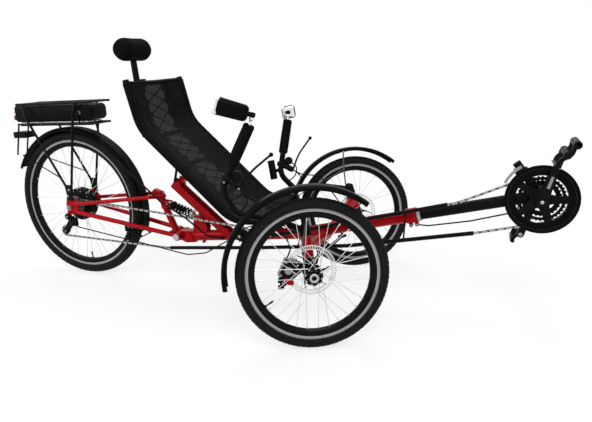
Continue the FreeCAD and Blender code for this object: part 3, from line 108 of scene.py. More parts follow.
@dataclass(frozen=True)
class Finish:
    """A surface: its colour, gloss and fine grain, read in the object's own coordinates.

    Attributes:
        name: the finish in a maker's words.
        colour: base colour, linear.
        shade: second colour that the first drifts to in soft patches.
        metal: metallic share.
        rough: roughness.
        grain: kind of fine texture.
        scale: texture cells per metre.
        depth: bump distance in millimetres.
        coat: clear coat weight.
        shine: specular level of the bare surface.
    """

    name: str
    colour: Point
    shade: Point
    metal: float = 0.0
    rough: float = 0.5
    grain: Grain = Grain.CAST
    scale: float = 900.0
    depth: float = 0.05
    coat: float = 0.0
    shine: float = 0.05

    def material(self) -> bpy.types.Material:
        """The finish's material, made on first use."""
        made = bpy.data.materials.get(self.name)
        if made is None:
            made = bpy.data.materials.new(self.name)
            made.use_nodes = True
            self._wire(made.node_tree)
        return made

    def _wire(self, tree: bpy.types.NodeTree) -> None:
        """Adds the nodes of the finish.

        Args:
            tree: node tree of the new material.
        """
        join = tree.links.new
        shader = levels(tree.nodes["Principled BSDF"], Metallic=self.metal, Coat_Weight=self.coat,
                        Coat_Roughness=0.08, Specular_IOR_Level=self.shine)
        place = add_node(tree, "TexCoord")
        drift = add_node(tree, "TexNoise", Scale=14.0, Detail=4.0)
        join(place.outputs["Object"], drift.inputs["Vector"])
        self._tint(tree, drift.outputs["Fac"])
        gloss = add_node(tree, "MapRange", To_Min=max(self.rough - 0.08, 0.03),
                         To_Max=min(self.rough + 0.1, 1.0))
        join(drift.outputs["Fac"], gloss.inputs["Value"])
        join(gloss.outputs["Result"], shader.inputs["Roughness"])
        texture = self._texture(tree)
        join(place.outputs["Object"], texture.inputs["Vector"])
        self._relief(tree, texture.outputs[0], 0.6)

    def _tint(self, tree: bpy.types.NodeTree, share: bpy.types.NodeSocket) -> None:
        """Mixes the two colours by a share.

        Args:
            tree: node tree of the material.
            share: socket that gives the share of the second colour.
        """
        tint = add_node(tree, "Mix")
        tint.data_type = "RGBA"
        tint.inputs[6].default_value = (*self.colour, 1.0)
        tint.inputs[7].default_value = (*self.shade, 1.0)
        tree.links.new(share, tint.inputs["Factor"])
        tree.links.new(tint.outputs[2], tree.nodes["Principled BSDF"].inputs["Base Color"])

    def _relief(self, tree: bpy.types.NodeTree, height: bpy.types.NodeSocket, strength: float) -> None:
        """Raises the fine grain.

        Args:
            tree: node tree of the material.
            height: socket that gives the height.
            strength: share of the full relief.
        """
        bump = add_node(tree, "Bump", Strength=strength, Distance=self.depth * MM)
        tree.links.new(height, bump.inputs["Height"])
        tree.links.new(bump.outputs["Normal"], tree.nodes["Principled BSDF"].inputs["Normal"])

    def _texture(self, tree: bpy.types.NodeTree) -> bpy.types.Node:
        """The height texture of the grain.

        Args:
            tree: node tree of the material.

        Returns:
            A texture node whose first output is the height.
        """
        if self.grain is Grain.FOAM:
            return add_node(tree, "TexVoronoi", Scale=self.scale)
        return add_node(tree, "TexNoise", Detail=1.0 if self.grain is Grain.SMOOTH else 6.0,
                        Scale=self.scale)


@dataclass(frozen=True)
class ClothFinish(Finish):
    """Open mesh cloth, woven along its own UV map and a little see-through.

    Attributes:
        threads: threads per metre.
        open_share: share of light that passes.
    """

    threads: float = 420.0
    open_share: float = 0.15

    def _wire(self, tree: bpy.types.NodeTree) -> None:
        """Weave of two crossed waves, with small openings between the threads.

        Args:
            tree: node tree of the new material.
        """
        levels(tree.nodes["Principled BSDF"], Roughness=self.rough, Specular_IOR_Level=0.06,
               Alpha=1.0 - self.open_share)
        place = add_node(tree, "UVMap")
        waves = []
        for direction in ("X", "Y"):
            wave = add_node(tree, "TexWave", Scale=self.threads * 0.05, Distortion=0.4)
            wave.bands_direction = direction
            tree.links.new(place.outputs["UV"], wave.inputs["Vector"])
            waves.append(wave)
        cross = add_node(tree, "Math")
        cross.operation = "MULTIPLY"
        for i, wave in enumerate(waves):
            tree.links.new(wave.outputs["Fac"], cross.inputs[i])
        self._tint(tree, cross.outputs["Value"])
        self._relief(tree, cross.outputs["Value"], 0.7)


class Shop:
    """The finishes of this tricycle."""

    CRIMSON = Finish("crimson_lacquer", (0.37, 0.002, 0.006), (0.25, 0.001, 0.0032), 0.45, 0.36,
                     Grain.SMOOTH, 2600, 0.01, 0.1)
    BLACK_LACQUER = Finish("black_lacquer", (0.0022, 0.0022, 0.0026), (0.004, 0.004, 0.0046), 0.0, 0.3,
                           Grain.SMOOTH, 1800, 0.01, 0.05)
    ANODISED = Finish("black_anodised", (0.0036, 0.0036, 0.0042), (0.007, 0.007, 0.0076), 0.1, 0.36,
                      Grain.CAST, 1500, 0.02, 0.0)
    SATIN_BLACK = Finish("satin_black", (0.0026, 0.0026, 0.003), (0.005, 0.005, 0.0056), 0.0, 0.45,
                         Grain.CAST, 1200, 0.03, 0.0)
    ALUMINIUM = Finish("machined_aluminium", (0.5, 0.5, 0.51), (0.38, 0.38, 0.39), 0.85, 0.34, Grain.SMOOTH,
                       1500, 0.02, 0.0, 0.5)
    TRACK = Finish("brake_track", (0.36, 0.36, 0.365), (0.28, 0.28, 0.285), 0.35, 0.46, Grain.SMOOTH, 2200,
                   0.02, 0.0, 0.4)
    SPOKE = Finish("spoke_steel", (0.74, 0.74, 0.75), (0.64, 0.64, 0.65), 0.9, 0.3, Grain.SMOOTH, 900, 0.01,
                   0.0, 0.5)
    STEEL = Finish("bright_steel", (0.36, 0.36, 0.37), (0.24, 0.24, 0.25), 0.9, 0.32, Grain.SMOOTH, 1200,
                   0.02, 0.0, 0.5)
    CHAIN = Finish("chain_steel", (0.48, 0.47, 0.46), (0.26, 0.25, 0.24), 0.9, 0.34, Grain.CAST, 900, 0.02,
                   0.0, 0.5)
    CHAIN_INNER = Finish("chain_inner", (0.03, 0.029, 0.028), (0.014, 0.0135, 0.013), 0.5, 0.42, Grain.CAST,
                         900, 0.02, 0.0, 0.2)
    CHROME = Finish("chrome", (0.8, 0.8, 0.81), (0.7, 0.7, 0.72), 1.0, 0.1, Grain.SMOOTH, 300, 0.005, 0.0,
                    0.5)
    TYRE = Finish("tyre_rubber", (0.004, 0.004, 0.0046), (0.008, 0.008, 0.009), 0.0, 0.62, Grain.CAST, 700,
                  0.1, 0.0, 0.08)
    FOAM = Finish("grip_foam", (0.0026, 0.0026, 0.003), (0.005, 0.005, 0.0056), 0.0, 0.85, Grain.FOAM, 900,
                  0.12, 0.0)
    PLASTIC = Finish("moulded_plastic", (0.0026, 0.0026, 0.003), (0.005, 0.005, 0.0056), 0.0, 0.42,
                     Grain.CAST, 1600, 0.03, 0.0)
    GLOSS = Finish("gloss_plastic", (0.0018, 0.0018, 0.0022), (0.0035, 0.0035, 0.004), 0.0, 0.34,
                   Grain.SMOOTH, 600, 0.01, 0.0, 0.03)
    CALIPER = Finish("cast_grey", (0.34, 0.34, 0.345), (0.2, 0.2, 0.205), 0.6, 0.4, Grain.CAST, 1100, 0.04,
                     0.0, 0.4)
    GREY = Finish("grey_plastic", (0.1, 0.1, 0.105), (0.07, 0.07, 0.074), 0.0, 0.45, Grain.CAST, 1200, 0.03,
                  0.0)
    LENS = Finish("red_lens", (0.4, 0.008, 0.008), (0.28, 0.004, 0.004), 0.0, 0.14, Grain.SMOOTH, 500, 0.02,
                  0.6)
    CABLE = Finish("cable_sleeve", (0.0026, 0.0026, 0.003), (0.005, 0.005, 0.0056), 0.0, 0.42, Grain.SMOOTH,
                   900, 0.02, 0.0)
    WEBBING = Finish("black_webbing", (0.0026, 0.0026, 0.003), (0.005, 0.005, 0.0056), 0.0, 0.8, Grain.CAST,
                     1400, 0.1, 0.0, 0.08)
    PAD_CLOTH = Finish("pad_cloth", (0.0016, 0.0016, 0.0019), (0.0032, 0.0032, 0.0036), 0.0, 0.88,
                       Grain.CAST, 1700, 0.12, 0.0, 0.06)
    MESH_CLOTH = ClothFinish("mesh_cloth", (0.0042, 0.004, 0.005), (0.0016, 0.0016, 0.002), 0.0, 0.72,
                             Grain.WEAVE, 1.0, 0.25, 0.0)
    GLASS = Finish("mirror_glass", (0.7, 0.72, 0.74), (0.6, 0.62, 0.64), 1.0, 0.06, Grain.SMOOTH, 200,
                   0.002, 0.0, 0.5)


# ------------------------------------------------------------------ modelling
class Bench:
    """Starts, shapes, copies and finishes pieces."""

    @staticmethod
    def clear() -> None:
        """Leaves nothing selected."""
        for item in bpy.context.selected_objects:
            item.select_set(False)

    @staticmethod
    def pick(piece: Piece) -> None:
        """Selects one object alone and makes it active."""
        Bench.clear()
        piece.select_set(True)
        bpy.context.view_layer.objects.active = piece

    @staticmethod
    def fresh(add: Callable[..., object], **sizes: object) -> Piece:
        """Adds a primitive with nothing else selected.

        Args:
            add: the operator that adds it.
            sizes: its settings.

        Returns:
            The new object.
        """
        Bench.clear()
        add(**sizes)
        return bpy.context.object

    @staticmethod
    def outline(points: Sequence[Vector], fill: bool) -> Piece:
        """A ring of edges, or one face, through given points.

        Args:
            points: corners in order.
            fill: True for a face.

        Returns:
            The new object.
        """
        kind = "NGON" if fill else "NOTHING"
        piece = Bench.fresh(bpy.ops.mesh.primitive_circle_add, vertices=len(points), radius=1.0,
                            fill_type=kind)
        for vertex, at in zip(piece.data.vertices, points):
            vertex.co = at
        return piece

    @staticmethod
    def turn(profile: Profile, steps: int = 64) -> Piece:
        """A closed outline of (radius, along) in metres, spun about Z.

        Args:
            profile: corners of the outline.
            steps: segments of the spin.

        Returns:
            The turned piece, still at the origin about Z.
        """
        return Bench.spun(Bench.outline([Vector((r, 0.0, z)) for r, z in profile], fill=False), steps,
                          math.tau)

    @staticmethod
    def turn_mm(profile: Profile, steps: int = 64) -> Piece:
        """The same as turn, from an outline in millimetres."""
        return Bench.turn([(r * MM, z * MM) for r, z in profile], steps)

    @staticmethod
    def band(inner: float, outer: float, low: float, high: float, steps: int) -> Piece:
        """A flat ring about Z, from its two radii and its two faces."""
        return Bench.turn([(inner, low), (outer, low), (outer, high), (inner, high)], steps)

    @staticmethod
    def spun(piece: Piece, steps: int, angle: float) -> Piece:
        """Spins all of a wire about Z and closes its seam.

        Args:
            piece: the wire.
            steps: segments of the spin.
            angle: how far it goes round.

        Returns:
            The same piece.
        """
        Bench.pick(piece)
        bpy.ops.object.mode_set(mode="EDIT")
        bpy.ops.mesh.select_all(action="SELECT")
        bpy.ops.mesh.spin(steps=steps, angle=angle, center=(0, 0, 0), axis=(0, 0, 1), dupli=False,
                          use_auto_merge=False)
        bpy.ops.mesh.select_all(action="SELECT")
        bpy.ops.mesh.remove_doubles(threshold=1e-6)
        bpy.ops.mesh.normals_make_consistent(inside=False)
        bpy.ops.object.mode_set(mode="OBJECT")
        return piece

    @staticmethod
    def prism(points: Sequence[Vector], pull: Spot, bevel: float = 0.0) -> Piece:
        """A flat outline pulled into a plate.

        Args:
            points: corners in order.
            pull: its thickness and direction, evenly on both sides of the points.
            bevel: width of the rounded edges.

        Returns:
            The plate.
        """
        thick = Vector(pull)
        piece = Bench.outline([point - thick / 2 for point in points], fill=True)
        Bench.pick(piece)
        bpy.ops.object.mode_set(mode="EDIT")
        bpy.ops.mesh.select_all(action="SELECT")
        bpy.ops.mesh.extrude_region_move(TRANSFORM_OT_translate={"value": tuple(thick)})
        bpy.ops.mesh.select_all(action="SELECT")
        bpy.ops.mesh.normals_make_consistent(inside=False)
        bpy.ops.object.mode_set(mode="OBJECT")
        if bevel:
            Bench.modify(piece, "BEVEL", width=bevel, segments=2, limit_method="ANGLE",
                         angle_limit=math.radians(35))
        return piece

    @staticmethod
    def block(size: Spot, bevel: float, segments: int = 3) -> Piece:
        """A box about the origin with rounded edges."""
        piece = Bench.fresh(bpy.ops.mesh.primitive_cube_add, size=1.0)
        piece.data.transform(Matrix.Diagonal((*size, 1.0)))
        Bench.modify(piece, "BEVEL", width=bevel, segments=segments)
        return piece

    @staticmethod
    def rod(start: Spot, stop: Spot, radius: float, end: float | None = None, sides: int = 16) -> Piece:
        """A round bar, or a cone, between two points.

        Args:
            start: first end.
            stop: second end.
            radius: radius at the first end.
            end: radius at the second end.
            sides: sides of the bar.

        Returns:
            The bar.
        """
        a, b = Vector(start), Vector(stop)
        piece = Bench.fresh(bpy.ops.mesh.primitive_cone_add, vertices=sides, radius1=radius,
                            radius2=radius if end is None else end, depth=(b - a).length)
        piece.data.transform(Matrix.Translation((a + b) / 2) @ facing(b - a, "Z", "Y"))
        return piece

    @staticmethod
    def tube(points: Sequence[Vector], radius: float, sides: int = 3) -> Piece:
        """A bar that follows points smoothly.

        Args:
            points: points of the line.
            radius: radius of the bar.
            sides: bevel resolution of the bar's section.

        Returns:
            The bar, as a mesh.
        """
        curve = bpy.data.curves.new("line", "CURVE")
        curve.dimensions = "3D"
        line = curve.splines.new("NURBS")
        line.points.add(len(points) - 1)
        for knot, at in zip(line.points, points):
            knot.co = (*at, 1.0)
        line.order_u, line.use_endpoint_u, line.resolution_u = 3, True, 6
        curve.bevel_depth, curve.bevel_resolution, curve.use_fill_caps = radius, sides, True
        piece = bpy.data.objects.new("line", curve)
        bpy.context.collection.objects.link(piece)
        Bench.pick(piece)
        bpy.ops.object.convert(target="MESH")
        return bpy.context.object

    @staticmethod
    def modify(piece: Piece, kind: str, **settings: object) -> Piece:
        """Adds a modifier and applies it."""
        Bench.pick(piece)
        added = piece.modifiers.new(kind.lower(), kind)
        for name, value in settings.items():
            setattr(added, name, value)
        bpy.ops.object.modifier_apply(modifier=added.name)
        return piece

    @staticmethod
    def moved(piece: Piece, place: Matrix) -> Piece:
        """Moves the piece's mesh, leaving its object at the origin."""
        piece.data.transform(place)
        return piece

    @staticmethod
    def shifted(piece: Piece, by: Spot) -> Piece:
        """Moves the piece's mesh by a step."""
        return Bench.moved(piece, Matrix.Translation(by))

    @staticmethod
    def stood(piece: Piece, centre: Spot, way: Spot) -> Piece:
        """Lays a piece made about Z on a point and a direction."""
        return Bench.moved(piece, frame_for(centre, way))

    @staticmethod
    def smooth(piece: Piece, degrees: float) -> None:
        """Shades a piece smooth, with edges sharper than this crisp."""
        Bench.pick(piece)
        bpy.ops.object.shade_smooth_by_angle(angle=math.radians(degrees))

    @staticmethod
    def dressed(parts: Sequence[Piece], finish: Finish, smooth: float = 40.0) -> Piece:
        """Several parts joined and given one finish."""
        return Bench.dress(Bench.joined(parts), finish, smooth)

    @staticmethod
    def copies(piece: Piece, places: Iterable[Matrix]) -> Piece:
        """The piece repeated at each place, each copy with its own mesh, joined into one.

        Args:
            piece: the model, which is used up.
            places: where each copy goes.

        Returns:
            The joined copies.
        """
        made = []
        for place in places:
            other = piece.copy()
            other.data = piece.data.copy()
            other.data.transform(place)
            bpy.context.collection.objects.link(other)
            made.append(other)
        bpy.data.objects.remove(piece)
        return Bench.joined(made)

    @staticmethod
    def ring(piece: Piece, count: int, start: float = 0.0) -> Piece:
        """The piece repeated evenly about Z."""
        return Bench.copies(
            piece, [Matrix.Rotation(math.radians(start) + math.tau * i / count, 4, "Z")
                    for i in range(count)])

    @staticmethod
    def joined(parts: Sequence[Piece]) -> Piece:
        """Several objects made into one, with their materials kept.

        Args:
            parts: the objects, the first of which takes in the others.

        Returns:
            The joined object.
        """
        Bench.clear()
        for part in parts:
            part.select_set(True)
        bpy.context.view_layer.objects.active = parts[0]
        if len(parts) > 1:
            bpy.ops.object.join()
        return bpy.context.view_layer.objects.active

    @staticmethod
    def dress(piece: Piece, finish: Finish, smooth: float = 40.0) -> Piece:
        """Gives a new part its finish and smooth shading.

        Args:
            piece: the part.
            finish: its surface.
            smooth: edges sharper than this many degrees stay crisp.

        Returns:
            The same part.
        """
        piece.data.materials.clear()
        piece.data.materials.append(finish.material())
        Bench.smooth(piece, smooth)
        return piece


class Fitter:
    """Mounts finished pieces on their bodies and reports them."""

    def __init__(self) -> None:
        """Starts the count."""
        self.count = 0

    def mount(self, piece: Piece, name: str, body: str, stands_for: Sequence[str] = ()) -> Piece:
        """Names a piece, rides it on a body and hides the nodes that it stands for.

        Args:
            piece: the finished piece.
            name: its name.
            body: the body that it moves with.
            stands_for: nodes that it replaces.

        Returns:
            The same piece.
        """
        piece.name = name
        piece.data.name = name
        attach(piece, body)
        if stands_for:
            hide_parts(*stands_for)
        self.count += 1
        LOG.info("%s rides on %s, %d faces", name, body, len(piece.data.polygons))
        return piece


FITTER = Fitter()


def frame_for(centre: Spot, out: Spot) -> Matrix:
    """Place that lays a piece made about Z on an axle that points outwards."""
    turn = Vector((0, 0, 1)).rotation_difference(Vector(out))
    return Matrix.Translation(centre) @ turn.to_matrix().to_4x4()


def facing(way: Vector, axis: str, up: str) -> Matrix:
    """Turn that points one axis along a direction, with another kept upright."""
    return way.to_track_quat(axis, up).to_matrix().to_4x4()


def rotated(degrees: float, axis: str | Vector) -> Matrix:
    """Turn about an axis."""
    return Matrix.Rotation(math.radians(degrees), 4, axis)


def both_ways(half: Profile) -> list[tuple[float, float]]:
    """Half of an outline, then its mirror image on the other side of the middle."""
    return [*half, *((a, -b) for a, b in reversed(half))]


# ------------------------------------------------------------------ studio
@dataclass
class Studio:
    """Plain pale room, soft lamps and the camera.

    Attributes:
        eye: where the camera stands.
        azimuth: degrees that the view turns from straight at the tricycle's right side towards its front.
        elevation: degrees that the camera looks down.
        roll: degrees that the picture leans.
        lens: focal length for a 36 mm wide picture.
        haze: share of the floor that is seen as plain white under the tricycle.
        clear_from: metres from the middle where the floor starts to turn plain white.
        clear_at: metres from the middle where it is plain white.
        ambient: level of the plain light all round.
    """

    eye: Point = (0.9083, -1.805, 0.8454)
    azimuth: float = 21.53
    elevation: float = 14.881
    roll: float = -3.167
    lens: float = 32.557
    haze: float = 0.72
    clear_from: float = 1.0
    clear_at: float = 2.2
    ambient: float = 0.55

    def build(self) -> None:
        """Makes the camera, the room and the lamps."""
        bpy.context.scene.view_settings.view_transform = "Standard"
        self._camera()
        self._world()
        self._floor()
        self._lamps()

    def _camera(self) -> None:
        """Places the camera from its three angles."""
        turn, dip, lean = (math.radians(a) for a in (self.azimuth, self.elevation, self.roll))
        back = Vector((math.sin(turn) * math.cos(dip), -math.cos(turn) * math.cos(dip), math.sin(dip)))
        right = Vector((math.cos(turn), math.sin(turn), 0.0))
        up = back.cross(right)
        side = right * math.cos(lean) + up * math.sin(lean)
        top = up * math.cos(lean) - right * math.sin(lean)
        camera = bpy.data.cameras.new("camera")
        camera.lens, camera.sensor_width, camera.sensor_fit = self.lens, 36.0, "HORIZONTAL"
        camera.clip_start, camera.clip_end = 0.05, 200.0
        seat = bpy.data.objects.new("camera", camera)
        bpy.context.scene.collection.objects.link(seat)
        seat.matrix_world = Matrix.Translation(self.eye) @ Matrix((side, top, back)).transposed().to_4x4()
        bpy.context.scene.camera = seat

    @staticmethod
    def _background_rays(tree: bpy.types.NodeTree) -> bpy.types.NodeSocket:
        """A value of 1 where the background itself is seen, straight or in a reflection.

        Args:
            tree: node tree of the room or the floor.

        Returns:
            Socket that gives the value.
        """
        path = add_node(tree, "LightPath")
        seen = path.outputs["Is Camera Ray"]
        for other in ("Is Glossy Ray", "Is Transmission Ray"):
            most = add_node(tree, "Math")
            most.operation = "MAXIMUM"
            tree.links.new(seen, most.inputs[0])
            tree.links.new(path.outputs[other], most.inputs[1])
            seen = most.outputs["Value"]
        return seen

    def _world(self) -> None:
        """White to look at, plain soft light on the object."""
        world = bpy.data.worlds.new("room")
        world.use_nodes = True
        bpy.context.scene.world = world
        tree = world.node_tree
        background = levels(tree.nodes["Background"], Color=(1.0, 1.0, 1.0, 1.0))
        level = add_node(tree, "MapRange", To_Min=self.ambient, To_Max=1.0)
        tree.links.new(self._background_rays(tree), level.inputs["Value"])
        tree.links.new(level.outputs["Result"], background.inputs["Strength"])

    def _floor(self) -> None:
        """A wide pale floor that keeps the tricycle's shadow."""
        floor = Bench.fresh(bpy.ops.mesh.primitive_plane_add, size=60.0)
        floor.name = "floor"
        paint = bpy.data.materials.new("pale_floor")
        paint.use_nodes = True
        tree = paint.node_tree
        join = tree.links.new
        shader = levels(tree.nodes["Principled BSDF"], Base_Color=(0.9, 0.9, 0.9, 1.0), Roughness=0.85,
                        Specular_IOR_Level=0.1)
        glow, place = add_node(tree, "Emission"), add_node(tree, "TexCoord")
        reach = add_node(tree, "VectorMath")
        reach.operation = "LENGTH"
        join(place.outputs["Object"], reach.inputs[0])
        fade = add_node(tree, "MapRange", From_Min=self.clear_from, From_Max=self.clear_at,
                        To_Min=self.haze)
        join(reach.outputs["Value"], fade.inputs["Value"])
        share = add_node(tree, "Math")
        share.operation = "MULTIPLY"
        join(fade.outputs["Result"], share.inputs[1])
        join(self._background_rays(tree), share.inputs[0])
        both = add_node(tree, "MixShader")
        join(share.outputs["Value"], both.inputs["Fac"])
        join(shader.outputs["BSDF"], both.inputs[1])
        join(glow.outputs["Emission"], both.inputs[2])
        join(both.outputs["Shader"], tree.nodes["Material Output"].inputs["Surface"])
        floor.data.materials.append(paint)

    @staticmethod
    def _lamps() -> None:
        """A soft key lamp and a wide fill on the viewer's side, and one above."""
        for name, place, power, wide in (
            ("key", (1.6, -3.0, 3.6), 105.0, 2.2), ("fill", (-3.0, -2.4, 2.6), 60.0, 2.6),
            ("top", (-0.2, 1.6, 3.8), 60.0, 2.6)):
            lamp = bpy.data.lights.new(name, "AREA")
            lamp.energy, lamp.size = power, wide
            stand = bpy.data.objects.new(name, lamp)
            bpy.context.scene.collection.objects.link(stand)
            way = Vector((0.0, 0.0, 0.35)) - Vector(place)
            stand.matrix_world = Matrix.Translation(place) @ facing(way, "-Z", "Y")


# ------------------------------------------------------------------ wheels
@dataclass
class Wheel:
    """Tyre with a tread, two-tone rim, spokes and their nipples, made about its own axle.

    Attributes:
        name: name of the wheel, also the end of its nodes' names.
        body: body that turns.
        place: from the wheel's own frame, Z outwards, to the tricycle's.
        outer: tyre radius.
        section: tyre section radius.
        rim: rim radius over the brake track.
        spokes: how many spokes.
        flange: hub flange radius.
        flange_at: flange distance from the middle plane.
        sweep: degrees that a spoke leans round the hub.
        valve_way: way from the axle to the valve.
        rim_deep: depth of the rim.
        rim_half: half width of the rim.
        track: width of the brake track.
        well: half width of the rim inside the track.
        nodes: the tyre and the rim that the pieces stand for.
    """

    name: str
    body: str
    place: Matrix
    outer: float = 0.238
    section: float = 0.022
    rim: float = 0.2095
    spokes: int = 32
    flange: float = 0.029
    flange_at: float = 0.026
    sweep: float = 62.0
    valve_way: Vector = field(default_factory=lambda: Vector((-0.87, 0.0, -0.5)))
    rim_deep: float = 0.0325
    rim_half: float = 0.0125
    track: float = 0.0125
    well: float = 0.0072
    nodes: tuple[str, str] = ("", "")

    @property
    def bed(self) -> float:
        """Radius of the rim's bed, where the spokes end."""
        return self.rim - self.rim_deep

    def build(self) -> None:
        """Makes every piece of the wheel."""
        self._tyre()
        self._rim()
        self._spokes()
        self._valve()

    def _mount(self, piece: Piece, name: str, slot: str, *nodes: str) -> None:
        """Moves a piece to its axle and mounts it."""
        Bench.moved(piece, self.place)
        FITTER.mount(piece, f"{name}_{self.name}", self.body, nodes)

    def _tyre(self) -> None:
        """Round carcass with two grooves and rows of slanted tread blocks."""
        middle, r = self.outer - self.section, self.section - 0.0012
        profile = []
        for step in range(-29, 30):
            angle = math.radians(step * 4.9)
            out = r - (0.0011 if abs(step) in (4, 13) else 0.0)
            profile.append((max(middle + out * math.cos(angle), self.rim - 0.003), out * math.sin(angle)))
        carcass = Bench.dress(Bench.turn(profile, 144), Shop.TYRE, 50)
        rows = []
        for at, wide, lean, count in (
            (9.5, 5.2, 24, 96), (22, 6.0, 34, 96), (35.5, 4.6, 12, 72), (0, 3.4, 0, 60)):
            for side in (SIDES if at else (1,)):
                block = Bench.block((0.0016, self.outer * 2.2 / count, wide * MM * 0.75), 0.0004, 1)
                lay = Matrix.Rotation(-math.radians(at) * side, 4, "Y")
                lay = lay @ Matrix.Translation((self.section - 0.0014, 0, 0)) @ rotated(lean * side, "X")
                Bench.moved(block, Matrix.Translation((middle, 0, 0)) @ lay)
                rows.append(Bench.ring(block, count, start=0 if side > 0 else 180 / count))
        tread = Bench.dressed(rows, Shop.TYRE, 30)
        self._mount(Bench.joined([carcass, tread]), "tyre_tread", "tyre", self.nodes[0])

    def _rim(self) -> None:
        """Black deep rim with a machined track and a wear groove on both sides."""
        r, bed, half, inner, foot = self.rim, self.bed, self.rim_half, self.well, self.rim - self.track
        groove = r - self.track * 0.55
        side = [(r, half - 0.0006), (r - 0.0006, half), (groove, half), (groove - 0.0004, half - 0.0005),
                (groove - 0.001, half - 0.0005), (groove - 0.0014, half), (foot, half),
                (foot - 0.001, half - 0.0008), (foot - 0.004, half - 0.0012), (bed + 0.007, inner + 0.0014),
                (bed + 0.002, inner - 0.001), (bed, inner - 0.003)]
        ring = Bench.turn(both_ways(side), 128)
        for finish in (Shop.BLACK_LACQUER, Shop.TRACK):
            ring.data.materials.append(finish.material())
        for face in ring.data.polygons:
            reach, tall = math.hypot(face.center.x, face.center.y), abs(face.center.z)
            face.material_index = int(foot < reach < r - 0.0001 and tall > half - 0.001)
        Bench.smooth(ring, 30)
        self._mount(ring, "rim_ring", "black_metal", self.nodes[1])

    def _spokes(self) -> None:
        """Wire spokes with hub elbows and nipples at the rim."""
        wires = []
        hub = self.flange - 0.0035
        for i in range(self.spokes):
            side, pair = (1 if i % 2 else -1), (i // 2) % 2
            lean = 1 if pair else -1
            at_rim = math.tau * (i + 0.5) / self.spokes
            at_hub = at_rim + math.radians(self.sweep * lean)
            a = Vector((hub * math.cos(at_hub), hub * math.sin(at_hub),
                        side * self.flange_at + 0.002 * lean))
            b = Vector((self.bed * math.cos(at_rim), self.bed * math.sin(at_rim), side * 0.002))
            nipple = b + (a - b).normalized() * 0.011
            wires.append(Bench.rod(a, nipple, 0.001, sides=8))
            wires.append(Bench.rod(nipple, b + (b - a).normalized() * 0.002, 0.0016, 0.0021, sides=8))
            head = Vector((a.x, a.y, a.z + 0.0026 * lean))
            wires.append(Bench.rod(a - (head - a) * 1.6, head, 0.0012, 0.0021, sides=8))
        self._mount(Bench.dressed(wires, Shop.SPOKE, 50), "spokes", "steel")

    def _valve(self) -> None:
        """Valve stub with its cap and the nut on the rim bed."""
        outline = [(0.0, -0.03), (0.0024, -0.03), (0.003, -0.026), (0.003, -0.016), (0.0022, -0.015),
                   (0.0022, -0.003), (0.0048, -0.003), (0.0048, 0.001), (0.0, 0.001)]
        stub = Bench.dress(Bench.turn([(r, self.bed + z) for r, z in outline], 16), Shop.PLASTIC)
        way = self.place.to_3x3().inverted() @ self.valve_way
        Bench.moved(stub, Matrix.Rotation(math.atan2(way.y, way.x), 4, "Z") @ rotated(90, "Y"))
        self._mount(stub, "valve", "plastic")


